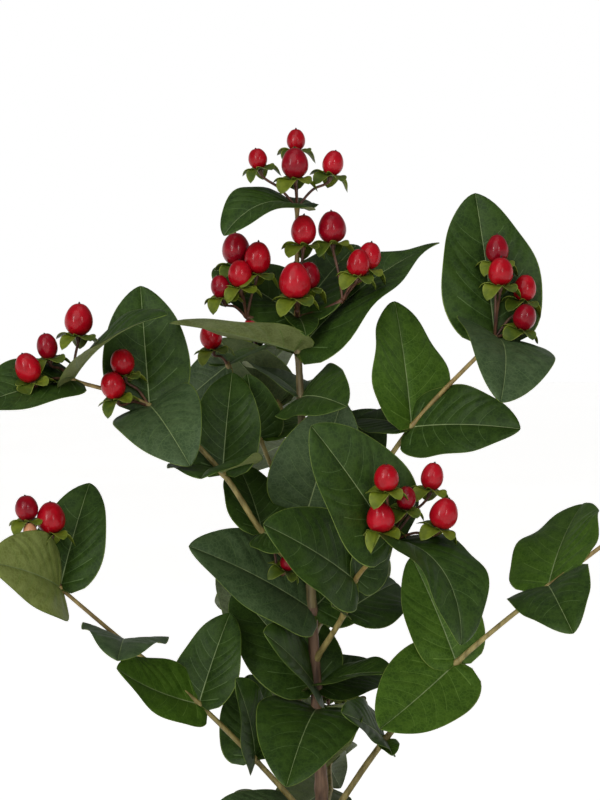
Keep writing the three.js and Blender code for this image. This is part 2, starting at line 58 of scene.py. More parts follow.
# Rings of points joined into one closed skin, with a point in the middle of each end unless others are given;
# paint is a material number. A thin blade gives the number of strips on its upper side, and both its sides
# then crease along the same lines
def addSkin(pile, rings, paint, ends=None, upperStrips=0):
    rows, sides, _ = rings.shape
    if ends is None:
        ends = [rings[0].mean(axis=0), rings[-1].mean(axis=0)]
    start = pile["count"]
    index = start + np.arange(rows * sides).reshape(rows, sides)
    beside = np.roll(index, -1, axis=1)
    faces = np.stack([index[:-1], beside[:-1], beside[1:], index[1:]], axis=-1)
    paints = np.broadcast_to(paint, (rows - 1, sides))
    if upperStrips:
        upper, lower = faces[:, :upperStrips], faces[:, upperStrips:]
        halves = [upper[..., [0, 1, 2]], upper[..., [0, 2, 3]], lower[..., [0, 1, 3]], lower[..., [1, 2, 3]]]
        faces = np.concatenate(halves, axis=1)
        upper, lower = paints[:, :upperStrips], paints[:, upperStrips:]
        paints = np.concatenate([upper, upper, lower, lower], axis=1)
    first = start + rows * sides
    firstCap = [[first, b, a] for a, b in zip(index[0].tolist(), beside[0].tolist())]
    lastCap = [[first + 1, a, b] for a, b in zip(index[-1].tolist(), beside[-1].tolist())]
    paints = paints.reshape(-1).tolist()
    pile["points"].append(np.vstack([rings.reshape(-1, 3), ends]))
    pile["faces"] += faces.reshape(-1, faces.shape[-1]).tolist() + firstCap + lastCap
    pile["paints"] += paints + [paints[0]] * sides + [paints[-1]] * sides
    pile["count"] += rows * sides + 2


def turnsOf(sides):
    return 2 * math.pi * np.arange(sides) / sides


def circle(turns, side, other):
    return np.cos(turns)[:, None] * side + np.sin(turns)[:, None] * other


def addTube(pile, line, radii, sides, paint):
    line = np.asarray(line, float)
    ahead = np.gradient(line, axis=0)
    ahead /= np.linalg.norm(ahead, axis=1)[:, None]
    side = np.array(sideHint)
    turns = turnsOf(sides)
    rings = []
    for centre, axis, radius in zip(line, ahead, radii):
        side = side - axis * side.dot(axis)
        side /= np.linalg.norm(side)
        outward = circle(turns, side, np.cross(axis, side))
        rings.append(centre + np.reshape(radius, (-1, 1)) * outward)
    addSkin(pile, np.array(rings), paint, line[[0, -1]])


# A surface turned round an upright axis at the origin; bulge(x, y, z) moves it outwards
def addLathe(pile, profile, sides, paint, bulge):
    turns = turnsOf(sides)
    rings = []
    for radius, height in profile:
        ring = [(radius * math.cos(a), radius * math.sin(a), height) for a in turns]
        rings.append([(x * s, y * s, z + h) for (x, y, z), (s, h) in zip(ring, [bulge(*p) for p in ring])])
    addSkin(pile, np.array(rings), paint)


def newObject(name, data):
    item = bpy.data.objects.new(name, data)
    bpy.context.scene.collection.objects.link(item)
    return item


def makePiece(name, pile, materials, nodes):
    mesh = bpy.data.meshes.new(name)
    mesh.from_pydata((np.vstack(pile["points"]) * mm).tolist(), [], pile["faces"])
    for material in materials:
        mesh.materials.append(material)
    mesh.polygons.foreach_set("material_index", pile["paints"])
    mesh.polygons.foreach_set("use_smooth", [True] * len(mesh.polygons))
    mesh.update()
    piece = newObject(name, mesh)
    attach(piece, "root")
    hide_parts(*nodes)
    triangles = sum(len(face) - 2 for face in pile["faces"])
    print(f"{name}: {triangles} triangles")


# A spot on the curve from start to end that heads for middle first
def curve(start, middle, end, s):
    return start * (1 - s) ** 2 + middle * 2 * s * (1 - s) + end * s**2


def treeOf(points):
    tree = KDTree(len(points))
    for i, point in enumerate(points):
        tree.insert(point, i)
    tree.balance()
    return tree


# A smooth line through the points, with a point at about every step
def smoothLine(points, step):
    points = [np.array(p, float) for p in points]
    spans = [b - a for a, b in zip(points, points[1:])]
    headings = [span / np.linalg.norm(span) for span in spans]
    bends = [headings[0]] + [a + b for a, b in zip(headings, headings[1:])] + [headings[-1]]
    bends = [bend / np.linalg.norm(bend) for bend in bends]
    line = [points[0]]
    for i, span in enumerate(spans):
        reach = np.linalg.norm(span)
        count = max(2, round(reach / step))
        for k in range(1, count + 1):
            s = k / count
            a, b = points[i], points[i + 1]
            leave, arrive = bends[i] * reach, bends[i + 1] * reach
            line.append(
                a * (2 * s**3 - 3 * s**2 + 1)
                + leave * (s**3 - 2 * s**2 + s)
                + b * (3 * s**2 - 2 * s**3)
                + arrive * (s**3 - s**2)
            )
    return np.array(line)


# Materials

def linear(hexColor):
    channels = [int(hexColor[i:i + 2], 16) / 255 for i in (1, 3, 5)]
    return [c / 12.92 if c <= 0.04045 else ((c + 0.055) / 1.055) ** 2.4 for c in channels] + [1]


# Adds a node with its settings (a property, or the value of an input) and its links
def addNode(tree, kind, settings, links):
    node = tree.nodes.new(kind)
    for key, value in settings.items():
        if isinstance(key, int) or key in node.inputs:
            node.inputs[key].default_value = value
        else:
            setattr(node, key, value)
    for key, source in links.items():
        tree.links.new(source, node.inputs[key])
    return node


surface = {
    "noiseBand": (0.38, 0.62),  # where the noise passes from the first tone to the second
    "lineWidth": 0.13,  # of the lines of a net, as a share of its cells
    "lineStrength": 0.5,
    "bump": 0.6,
}


# A surface whose colour wanders between two tones in patches, with a fine relief. The sizes of patch, grain,
# relief and net are millimetres. stretch pulls the pattern out along Z, and net lays a third tone over the
# others as the lines between cells
def newMaterial(name, tones, patch, grain, roughness, relief, stretch=1, net=0, **sockets):
    material = bpy.data.materials.new(name)
    material.use_nodes = True
    tree = material.node_tree
    shader = tree.nodes["Principled BSDF"]
    place = addNode(tree, "ShaderNodeTexCoord", {}, {})
    stretched = {"Scale": (1, 1, 1 / stretch)}
    pull = addNode(tree, "ShaderNodeMapping", stretched, {"Vector": place.outputs["Object"]})
    spot = {"Vector": pull.outputs[0]}
    patches = addNode(tree, "ShaderNodeTexNoise", {"Scale": 1 / (patch * mm), "Detail": 3}, spot)
    low, high = surface["noiseBand"]
    band = {"From Min": low, "From Max": high}
    ramp = addNode(tree, "ShaderNodeMapRange", band, {"Value": patches.outputs[0]})
    both = {"data_type": "RGBA", 6: linear(tones[0]), 7: linear(tones[1])}
    mix = addNode(tree, "ShaderNodeMix", both, {0: ramp.outputs[0]})
    if net:
        edges = {"feature": "DISTANCE_TO_EDGE", "Scale": 1 / (net * mm)}
        cells = addNode(tree, "ShaderNodeTexVoronoi", edges, spot)
        limits = {"From Max": surface["lineWidth"], "To Min": surface["lineStrength"], "To Max": 0}
        lines = addNode(tree, "ShaderNodeMapRange", limits, {"Value": cells.outputs["Distance"]})
        third = {"data_type": "RGBA", 7: linear(tones[2])}
        mix = addNode(tree, "ShaderNodeMix", third, {0: lines.outputs[0], 6: mix.outputs[2]})
    tree.links.new(mix.outputs[2], shader.inputs["Base Color"])
    grains = addNode(tree, "ShaderNodeTexNoise", {"Scale": 1 / (grain * mm), "Detail": 2}, spot)
    gloss = {"To Min": roughness[0], "To Max": roughness[1]}
    shine = addNode(tree, "ShaderNodeMapRange", gloss, {"Value": grains.outputs[0]})
    tree.links.new(shine.outputs[0], shader.inputs["Roughness"])
    if relief:
        raised = {"Strength": surface["bump"], "Distance": relief * mm}
        bump = addNode(tree, "ShaderNodeBump", raised, {"Height": grains.outputs[0]})
        tree.links.new(bump.outputs[0], shader.inputs["Normal"])
    for key, value in sockets.items():
        shader.inputs[key.replace("_", " ")].default_value = value
    return material


# Terracotta, thrown and fired without glaze: matt and dusty, warmer and cooler where the kiln reached it
clay = newMaterial("terracotta", ["#a5694b", "#b07859"], 45, 0.7, (0.85, 0.97), 0.2, IOR=1.5)
# Peat and composted bark, damp: almost black, with no shine
peat = newMaterial("damp peat", ["#1f150e", "#38281b"], 6, 0.8, (0.85, 1), 0.5, IOR=1.4)
# Bark chips: broken pine bark, red-brown and dry
chip = newMaterial("pine bark chips", ["#4b2f1e", "#7a5233"], 3, 0.6, (0.7, 0.95), 0.3, IOR=1.45)
# Expanded perlite: a chalky foamed glass
perlite = newMaterial("perlite", ["#c9c4b6", "#e6e2d8"], 2, 0.5, (0.8, 0.95), 0.2, IOR=1.5)
# Old wood at the foot: thin dark red-brown bark, with paler skin lifting in lengthwise threads
bark = newMaterial("shrub bark", ["#4a3527", "#785c47"], 2.2, 0.6, (0.55, 0.8), 0.15, 7, IOR=1.45)
# The upper stem: last year's bark, olive brown
oliveBark = newMaterial("olive bark", ["#50452a", "#7a6d48"], 2.4, 0.6, (0.5, 0.7), 0.12, 7, IOR=1.45)
# Young bark: straw and olive, waxy
youngBark = newMaterial("young bark", ["#6c6032", "#94854f"], 2.5, 0.6, (0.45, 0.65), 0.08, 6, IOR=1.45)
# Last internodes: straw turning red-brown where the sun reaches
turningBark = newMaterial("turning bark", ["#6d5a30", "#927d47"], 3, 0.6, (0.42, 0.6), 0.06, 5, IOR=1.45)
# Fruit stalks: dark red-brown skin with a slight gloss
redStalk = newMaterial("red stalk skin", ["#43251a", "#62402c"], 2, 0.5, (0.42, 0.58), 0.05, 4, IOR=1.45)
# Leaf blades: thin waxy skin over green, a soft sheen, faint mottling and a net of fine veins. The net is
# drawn at 2.1 mm, coarser than the real one of about 1 mm, so that it shows
leafLook = {
    "patch": 5,
    "grain": 0.8,
    "roughness": (0.46, 0.6),
    "relief": 0.12,
    "net": 2.1,
    "IOR": 1.4,
    "Specular_IOR_Level": 0.27,
}
leafTones = {
    "deep": ["#1e3209", "#2a3f0f", "#354d1a"],
    "grass": ["#2e480b", "#3b5613", "#4a6720"],
    "olive": ["#384417", "#485322", "#586430"],
    "grey": ["#2d3f22", "#3b4c2d", "#4a5d3a"],
    "pale": ["#606a30", "#707a3f", "#808a4e"],
}
blades = [newMaterial(f"leaf skin {name}", tones, **leafLook) for name, tones in leafTones.items()]
# The underside has no wax, so it is paler and duller. Leaves inside the shrub and at its back and foot
# get a darker copy of it, painted shade where their undersides lie out of the light
dullLook = {"patch": 8, "grain": 0.6, "roughness": (0.6, 0.75), "relief": 0.05, "net": 2.1, "IOR": 1.4}
# Veins, midrib and margin: denser and yellower than the blade
ribLook = {"patch": 5, "grain": 0.5, "roughness": (0.5, 0.65), "relief": 0, "IOR": 1.4}
leafParts = {
    "underside": newMaterial("leaf underside", ["#5c6632", "#6b7540", "#838b57"], **dullLook),
    "shadedUnderside": newMaterial("leaf underside painted shade", ["#3c4826", "#49552f", "#5b673e"], **dullLook),
    "midrib": newMaterial("leaf midrib", ["#66764a", "#7a885a"], **ribLook),
    "darkVein": newMaterial("leaf veins dark", ["#3e5527", "#4d6334"], **ribLook),
    "lightVein": newMaterial("leaf veins light", ["#4a661f", "#58742b"], **ribLook),
    "margin": newMaterial("leaf margin", ["#526620", "#64772c"], **{**ribLook, "patch": 6}),
}
leafMaterials = blades + list(leafParts.values())
leafPaint = {name: i for i, name in enumerate([*leafTones, *leafParts])}

# Berry skin: tight, with soft wet-looking lights, and almost even in colour. The second pair is a darker
# copy of the first, painted shade dealt out at random. The last pair is for unripe ones
berryLook = {
    "patch": 5,
    "grain": 1.2,
    "roughness": (0.24, 0.34),
    "relief": 0.04,
    "IOR": 1.42,
    "Specular_IOR_Level": 0.14,
    "Coat_Weight": 0.24,
    "Coat_Roughness": 0.15,
}
berryTones = [["#8b0210", "#9c0617"], ["#700213", "#830516"], ["#930716", "#a20f1e"], ["#b0714f", "#c08760"]]
berryMaterials = []
for i, tones in enumerate(berryTones):
    berryMaterials.append(newMaterial(f"berry skin {i + 1}", tones, **berryLook))
# The dried style that each berry keeps at its tip
styleSkin = newMaterial("dried style", ["#1c0d08", "#3a2114"], 1, 0.3, (0.7, 0.9), 0, IOR=1.45)
berryMaterials.append(styleSkin)
# Sepals: fresh yellow-green, thicker and brighter than the leaves
sepalLook = {"patch": 3, "grain": 0.6, "roughness": (0.48, 0.6), "relief": 0.05, "IOR": 1.4}
sepalMaterials = [
    newMaterial("sepal skin lit", ["#4f5c0b", "#616d15"], **sepalLook),
    # A darker copy of the lit skin: painted shade, dealt out to sepals at random
    newMaterial("sepal skin painted shade", ["#364808", "#48570f"], **sepalLook),
    newMaterial("sepal margin", ["#6b7625", "#7d8732"], **sepalLook),
]
print("materials made")


# The plant's plan, grown by the same rule as the CAD

stem = {
    "footRadius": 3.6,
    "flare": 2.4,
    "flareHeight": 14,
    "tipRadius": 1.5,
    "ground": 138,
    "top": 446,
    "leanFrom": 230,
    "lean": -0.053,  # across for each millimetre up
}
blade = {
    "broadness": 0.7,
    "riseShape": 0.3,
    "fallShape": 0.66,
    "lobe": 0.05,
    "lobeSharpness": 6,
    "fold": 10,
    "droop": 24,
    "upShare": 0.6,  # how much of its facing comes from straight up, and from the light
    "lightShare": 2.4,
}

# The berry of the CAD, and how the leaves and berries are found again in its solids
packed = {
    "near": 0.08,  # how close a corner has to be, in mm
    "leafCorners": 3,  # a leaf or a berry is there when so many of its corners are
    "berryCorners": 2,
    "berrySides": 5,
    "radius": 0.46,  # of a solid berry, and where it is widest, as shares of its length
    "widest": 0.42,
    "berryLean": 0.5,  # how much a berry follows its stalk, against straight up
}

# at: height of the joint. Each leaf is its length, how far its tip reaches across and up, front or back,
# droop, roll and how far the tip is drawn out
stemPairs = {
    "low": {"at": 205, "leaves": [[70, -52, 18, front, 60, 20], [62, 46, 8, front, 50, -30]]},
    "mid": {"at": 271, "leaves": [[70, -14, -26, front, 46], [62, 0, -38, back, 30]]},
    "whorl": {
        "at": 281,
        "leaves": [
            [54, -24, 30, front, 16],
            [64, -38, 42, back, 14],
            [44, 32, 4, back, 20],
            [46, 35, 10, front, 30, -30],
        ],
    },
    "broad": {"at": 317, "leaves": [[70, -56, 32, front, 20], [56, 30, 26, back, 24]]},
    "upright": {"at": 362, "leaves": [[64, 16, 54, front, 12, 25], [62, 34, 46, back, 14]]},
    "inner": {"at": 415, "leaves": [[46, -26, 13, back, 30, 40], [52, 31, -10, front, 30, 20]]},
    "top": {"at": 436, "leaves": [[88, 66, 50, back, 36, -24, 1.2], [66, -58, 14, front, 12, 56]]},
}

# Each joint has its reach, its leaves and its berries, as across, depth, up and length
shownShoots = {
    "front_right": {
        "foot": 293,
        "radius": 1.5,
        "joints": [
            {"reach": [13.5, -14, 24], "leaves": [[52, 25, 9, back, 24, 4], [18, -6, 5, front]]},
            {"reach": [4.5, -18, 17], "leaves": [[64, -41, 29, front, 20], [40, 15, 24, back, 16, 55]]},
            {
                "reach": [16, -22, 20],
                "leaves": [[70, -36, 53, front, 14], [70, 29, -42, front, 96, -34]],
                "berries": [
                    [-3, -24, 24, 12.4],
                    [18, 0, 22.5, 12.8],
                    [6, -12, 15, 10.8],
                    [-7, -16, 4, 14],
                    [23, -8, 6, 14.4],
                ],
            },
        ],
    },
    "upper_right": {
        "foot": 328,
        "radius": 1.5,
        "joints": [
            {
                "reach": [46, -10, 74],
                "leaves": [[63, -7, 57, back, 10, 22], [57, 48, 1, front, 24, 12], [38, -24, 2, back, 20]],
            },
            {
                "reach": [37.5, -10, 41],
                "leaves": [[70, -8, 66, back, 10], [68, -1, -26, front, 60, -8]],
                "berries": [[1, 2, 34, 13.4], [2, -9, 24, 13.2], [13.5, 2, 16, 12.6], [13, -9, 4, 12.2]],
            },
        ],
    },
    "upper_left": {
        "foot": 330,
        "radius": 1.5,
        "joints": [
            {
                "reach": [-22, -12, 24],
                "leaves": [[44, -12, 29, back], [30, 16, -6, front]],
                "berries": [[12, -8, -17, 8.6]],
            },
            {"reach": [-18, -6, 27.5], "leaves": [[50, 4, 45, back, 14], [62, -8, 2, front, 26]]},
            {
                "reach": [-33, -6, 31],
                "leaves": [[58, -5, 54, back, 12], [58, 20, -24, front, 56, -4]],
                "berries": [[-16, -10, 3.5, 12.8], [-12, -4, 14, 12.4]],
            },
            {
                "reach": [-34.5, -6, 12],
                "leaves": [[54, -45, -12, front, 20, 12], [60, 44, 30, front, 44, -60]],
                "berries": [[-19.5, -12, -2, 14], [-11, -5, 9.5, 12.2], [3, 0, 20, 15]],
            },
        ],
    },
    "lower_left": {
        "foot": 213,
        "radius": 1.4,
        "joints": [
            {"reach": [-31, -6, 35.5], "leaves": [[46, -3, 35, back, 16], [48, -7, 36, front, 20, 60]]},
            {"reach": [-25.5, -4, 26], "leaves": [[46, 14, 40, back, 14], [54, -36, 21, front, -24, 5]]},
            {"reach": [-34, -4, 29], "leaves": [[58, 0, -1, front, 40, -32]]},
            {
                "reach": [-29, -4, 25.5],
                "leaves": [[60, -29, 17, front, 30, -40], [54, 12, 46, back, 12]],
                "berries": [[-15, -3, 31, 12], [-13, -8, 23, 8], [-4, -2, 25, 15]],
            },
        ],
    },
    "lower_right": {
        "foot": 214,
        "radius": 1.6,
        "joints": [
            {"reach": [29, -4, 43], "leaves": [[42, -29.5, 19, front, 20, 30], [16, 3, -5, front]]},
            {"reach": [32.5, -9, 37], "leaves": [[54, -20, 47, back, 16], [61, -36, -24, front, -20]]},
            {"reach": [41.5, -8, 36], "leaves": [[66, 20, 33, back, 20, -50], [58, 7, -15, front, 60, 35]]},
            {
                "reach": [41, -6, 32],
                "leaves": [[50, -21, 18, front, 16], [52, 34, 22, back]],
                "berries": [[-7, -6, 22, 13], [3, 4, 28, 12.5], [12, -4, 22, 13], [3, -10, 14, 12]],
            },
        ],
    },
    "inner_left": {
        "foot": 337,
        "radius": 1.2,
        "joints": [
            {"reach": [-23, 17, 58], "leaves": [[36, 15, 10, back], [36, -4, 25, front]]},
            {
                "reach": [-15, 8, 34],
                "leaves": [[36, -22, -19, back, 10, -30], [44, 22, 6, back]],
                "berries": [[-8, -6, 7.5, 12.6]],
            },
        ],
    },
}

# The top of the plant goes on from the tip of the main stem, and its first joint forks three ways
topShoot = {
    "foot": stem["top"],
    "radius": 1.35,
    "joints": [
        {
            "reach": [0, 0, 6],
            "leaves": [
                [24, 4, -8, front, 40],
                [38, -18, 5, back],
                [56, 28, 33, back, 16],
                [50, -39, 22, back],
            ],
            "forks": [
                {
                    "reach": [-23, -6, 0],
                    "berries": [[5, -4, 20, 15.2], [-3, -8, 14, 12.9], [-5, 4, 24, 15.2], [-12, -6, 9, 11]],
                },
                {
                    "reach": [21, -5, 8],
                    "berries": [[-5, 4, 26, 15.2], [7, -8, 11, 12.9], [12, -3, 14, 13]],
                },
                {"reach": [0, -10, 4], "berries": [[-1, -8, 5, 17], [5, 3, 9, 13], [3, 6, 29, 14.4]]},
            ],
        },
        {
            "reach": [0, 0, 50.5],
            "leaves": [[48, -33, -13, front, 84, 18], [20, 7, 2, back]],
            "berries": [[-18, -3, 17.5, 9.8], [-0.5, 8, 26, 10.4], [-1, -6, 13, 14.6], [16.5, 0, 14.5, 12]],
        },
    ],
}

# Shoots on the sides that the front view hides: foot height, bearing and rise in degrees, leaf length, and
# number of berries
fillShoots = {
    "back_low": [219, 84, 12, 52, 2],
    "back_mid_left": [262, 110, 26, 54, 3],
    "back_mid_right": [306, 72, 26, 50, 3],
    "back_high": [374, 100, 28, 48, 3],
    "low_front": [162, 284, 4, 50, 2],
    "low_front_left": [172, 226, 6, 49, 2],
    "low_right": [180, 336, 2, 50, 2],
    "low_left": [184, 172, 0, 50, 2],
    "low_back_left": [176, 122, 8, 52, 3],
    "low_back_right": [190, 42, 4, 52, 3],
}
# Each Range is how far a value wanders, and a pair is a least value and what may come on top
fill = {
    "radius": 1.6,
    "joints": 3,
    "internode": 34,
    "shorter": 0.08,  # each internode, against the one before
    "curve": 4,
    "bearingRange": 14,
    "riseRange": 6,
    "firstTurn": (30, 40),
    "pairTurn": 90,
    "turnRange": 16,
    "spread": 58,
    "spreadRange": 18,
    "smaller": 0.07,  # each pair of leaves, against the one before
    "leafScale": (0.9, 0.2),
    "droop": (24, 24),
    "berryOut": (5, 7),
    "berryRise": (12, 9),
    "berryLength": (11.5, 2.5),
    "lightUp": 0.5,
}
# Places that a leaf may take in turn: on a fill shoot a turn round it and a share of the leaf's length, and
# on every shoot more roll and tilt
fillWays = [[0, 1], [24, 1], [-24, 1], [0, 0.8], [48, 0.9], [-48, 0.9], [40, 0.7], [-40, 0.7]]
leafTurns = [
    [0, 0], [14, 0], [-14, 0], [0, 8], [0, -8], [28, 0], [-28, 0], [16, 10], [-16, 10], [16, -10], [-16, -10],
    [0, 17], [0, -17], [24, 18], [-24, 18], [24, -18], [-24, -18],
]


# The CAD's own seeded numbers, so that the same plant grows
def seeded(seed):
    state = [seed]

    def draw():
        state[0] = (state[0] * 1664525 + 1013904223) % 4294967296
        return state[0] / 4294967296

    return draw


def stemPoint(height):
    return Vector((stem["lean"] * max(0, height - stem["leanFrom"]), 0, height))


def stemRadius(height):
    share = (height - stem["ground"]) / (stem["top"] - stem["ground"])
    flare = stem["flare"] * max(0, 1 - max(0, height - stem["ground"]) / stem["flareHeight"]) ** 2
    return stem["footRadius"] + (stem["tipRadius"] - stem["footRadius"]) * share + flare


def squareTo(wanted, along):
    return (wanted - along * wanted.dot(along)).normalized()


def turned(direction, axis, degrees):
    return Quaternion(axis, math.radians(degrees)) @ direction


def placeLeaf(
    base, axis, light, length, across, rise, side, droop=blade["droop"], roll=0, fall=blade["fallShape"]
):
    bend = math.radians(droop)
    chord = length * 2 * math.sin(bend / 2) / bend
    depth = math.sqrt(max(0, chord**2 - across**2 - rise**2))
    along = Vector((across, side * depth, rise)).normalized()
    return leafChoices(base, along, length, bend, axis, light, roll, fall)


def leafChoices(base, along, length, bend, axis, light, roll, fall):
    wanted = axis + up * blade["upShare"] + light * blade["lightShare"]
    tiltAxis = light.cross(along).normalized()
    choices = []
    for moreRoll, tilt in leafTurns:
        tilted = turned(along, tiltAxis, tilt)
        above = turned(squareTo(wanted, tilted), tilted, roll + moreRoll)
        leaf = {"base": base, "along": tilted, "above": above, "length": length, "bend": bend, "fall": fall}
        choices.append(leaf)
    return choices


def halfWidth(leaf, t):
    rise, fall = blade["riseShape"], leaf["fall"]
    peak = rise / (rise + fall)
    widest = peak**rise * (1 - peak) ** fall
    return 0.5 * leaf["length"] * blade["broadness"] * t**rise * (1 - t) ** fall / widest


# Points of the blade: t from base to tip, u from one edge (-1) to the other (1), lift off the middle sheet
def bladePoints(leaf, t, u, lift):
    along, above = np.array(leaf["along"]), np.array(leaf["above"])
    sideways = np.cross(along, above)
    bend, length = leaf["bend"], leaf["length"]
    angle = bend / 2 - bend * t
    forward = length / bend * (math.sin(bend / 2) - np.sin(angle))
    upward = length / bend * (np.cos(angle) - math.cos(bend / 2))
    half = halfWidth(leaf, t) * u
    fold = math.radians(blade["fold"])
    raised = np.abs(half) * math.sin(fold) + lift
    lobe = -blade["lobe"] * length * np.abs(u) * (1 - t) ** blade["lobeSharpness"]
    return (
        np.array(leaf["base"])
        + (forward - np.sin(angle) * raised + np.cos(angle) * lobe)[..., None] * along
        + (upward + np.cos(angle) * raised + np.sin(angle) * lobe)[..., None] * above
        + (half * math.cos(fold))[..., None] * sideways
    )


def berryPlan(joint, across, depth, rise, length):
    centre = joint + Vector((across, depth, rise + length / 2))
    axis = ((centre - joint).normalized() * packed["berryLean"] + up).normalized()
    return {"joint": joint, "base": centre - axis * length / 2, "axis": axis, "length": length}


def newPlan(name, points, radius):
    return {"name": name, "points": points, "radius": radius, "leaves": [], "fruits": [], "forks": []}


def shownPlan(name, shoot):
    points = [stemPoint(shoot["foot"])]
    plan = newPlan(name, points, shoot["radius"])
    for item in shoot["joints"]:
        reach = Vector(item["reach"])
        joint = points[-1] + reach
        points.append(joint)
        for leaf in item["leaves"]:
            plan["leaves"].append(placeLeaf(joint, reach.normalized(), viewer, *leaf))
        for berry in item.get("berries", []):
            plan["fruits"].append(berryPlan(joint, *berry))
        for fork in item.get("forks", []):
            end = joint + Vector(fork["reach"])
            plan["forks"].append([joint, end])
            for berry in fork["berries"]:
                plan["fruits"].append(berryPlan(end, *berry))
    return plan


def fillPlan(name, foot, bearing, rise, leafLength, berries, seed):
    draw = seeded(seed)

    def wander(key):
        return fill[key] * (draw() - 0.5)

    def atLeast(key):
        least, more = fill[key]
        return least + more * draw()

    points = [stemPoint(foot)]
    plan = newPlan(name, points, fill["radius"])
    firstTurn = atLeast("firstTurn")
    for i in range(fill["joints"]):
        heading = math.radians(bearing + wander("bearingRange"))
        climb = math.radians(rise + fill["curve"] * i + wander("riseRange"))
        flat = Vector((math.cos(heading), math.sin(heading), 0))
        axis = flat * math.cos(climb) + up * math.sin(climb)
        joint = points[-1] + axis * fill["internode"] * (1 - fill["shorter"] * i)
        light = (flat + up * fill["lightUp"]).normalized()
        points.append(joint)
        for side in (0, 180):
            length = leafLength * (1 - fill["smaller"] * i) * atLeast("leafScale")
            spread = math.radians(fill["spread"] + wander("spreadRange"))
            bend = math.radians(atLeast("droop"))
            turn = firstTurn + fill["pairTurn"] * i + side + wander("turnRange")
            choices = []
            for more, share in fillWays:
                outward = turned(squareTo(up, axis), axis, turn + more)
                along = axis * math.cos(spread) + outward * math.sin(spread)
                choices += leafChoices(joint, along, share * length, bend, axis, light, 0, blade["fallShape"])
            plan["leaves"].append(choices)
    for i in range(berries):
        turn = math.radians(firstTurn) + 2 * math.pi * i / berries
        out, rise, length = [atLeast(key) for key in ("berryOut", "berryRise", "berryLength")]
        plan["fruits"].append(berryPlan(points[-1], out * math.cos(turn), out * math.sin(turn), rise, length))
    return plan


def stemPlan(name, pair):
    plan = newPlan(name, [], 0)
    plan["leaves"] = [placeLeaf(stemPoint(pair["at"]), up, viewer, *leaf) for leaf in pair["leaves"]]
    return plan


def hits(tree, points):
    return sum(tree.find(point)[2] < packed["near"] for point in points)


# Of the places that a leaf may take, the one where the solid blade has its corners
def takenPlace(tree, choices):
    t = np.array([0.1, 0.1, 0.42, 0.42, 0.78, 0.78, 1])
    u = np.array([-1, 1, -1, 1, -1, 1, 0])
    scores = [hits(tree, bladePoints(leaf, t, u, np.zeros(7))) for leaf in choices]
    best = max(scores)
    return choices[scores.index(best)] if best >= packed["leafCorners"] else None


def isThere(tree, fruit):
    side = squareTo(sideHint, fruit["axis"])
    radius = packed["radius"] * fruit["length"]
    points = [fruit["base"] + fruit["axis"] * fruit["length"]]
    for i in range(packed["berrySides"]):
        outward = turned(side, fruit["axis"], 360 * i / packed["berrySides"])
        points.append(fruit["base"] + fruit["axis"] * packed["widest"] * fruit["length"] + outward * radius)
    return hits(tree, points) >= packed["berryCorners"]


def settle(plan, node):
    tree = treeOf([vertex.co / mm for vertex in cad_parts[node].data.vertices])
    found = [takenPlace(tree, choices) for choices in plan["leaves"]]
    plan["node"] = node
    plan["leaves"] = [leaf for leaf in found if leaf]
    plan["fruits"] = [fruit for fruit in plan["fruits"] if isThere(tree, fruit)]
    plan["order"] = [i for i, leaf in enumerate(found) if leaf]
    return plan


stemPlans = [settle(stemPlan(name, pair), f"stem_leaves_{name}") for name, pair in stemPairs.items()]
shownPlans = [settle(shownPlan(name, shoot), f"leaves_{name}") for name, shoot in shownShoots.items()]
topPlan = settle(shownPlan("top", topShoot), "leaves_top")
fillPlans = []
for i, (name, shoot) in enumerate(fillShoots.items()):
    fillPlans.append(settle(fillPlan(name, *shoot, 101 + 37 * i), f"leaves_{name}"))
plans = stemPlans + shownPlans + [topPlan] + fillPlans
print("leaves:", sum(len(plan["leaves"]) for plan in plans), "berries:", sum(len(p["fruits"]) for p in plans))


# Leaves

leafShape = {
    "veins": [0.04, 0.12, 0.22, 0.34, 0.48, 0.64],  # where they leave the midrib, as t
    "rowsBetween": 4,
    "rowsAtTip": 6,
    "columns": [0.16, 0.34, 0.52, 0.7, 0.86],
    "sweep": 0.52,  # how far the veins run towards the tip
    "sweepFrom": 0.35,  # it builds up to here
    "veinCurve": 1.25,
    "veinInset": 3,  # strips between the rim and the end of a vein
    "thickness": 0.3,
    "ribWidth": 0.62,
    "veinWidth": 0.24,
    "marginWidth": 0.36,
    "quilt": 0.5,  # height of the blade between two veins, on a leaf of the usual length
    "wave": 1.5,  # height of the waves in the margin, on the same leaf
    "waves": (1.2, 2.2),  # how many to each side
    "waveHeights": (0.5, 1.3),
    "usualLength": 60,
    "ribTaper": 0.75,  # how much narrower the midrib is at the tip
    "cup": 0.02,
    "ribSink": 0.14,  # the midrib is a groove above and a ridge below
    "ribRidge": 0.4,
    "mostRib": 0.3,  # near the tip, the midrib and the margin take up at most these shares of the half width
    "mostMargin": 0.5,
    "start": 0.004,
    "tipGap": 0.0004,
    "tipBunching": 1.7,
}


def leafRows():
    starts = [leafShape["start"]] + leafShape["veins"]
    rows = [(starts[0], 0, False)]
    for low, high in zip(starts, starts[1:]):
        for k in range(1, leafShape["rowsBetween"] + 1):
            phase = k / (leafShape["rowsBetween"] + 1)
            rows.append((low + (high - low) * phase, phase, False))
        rows += [(high, 0, True), (high, 0, False)]
    last = starts[-1]
    for k in range(1, leafShape["rowsAtTip"] + 1):
        phase = k / leafShape["rowsAtTip"]
        rest = (1 - last) * (1 - phase) ** leafShape["tipBunching"]
        rows.append((1 - rest - leafShape["tipGap"] * phase, phase, False))
    return rows


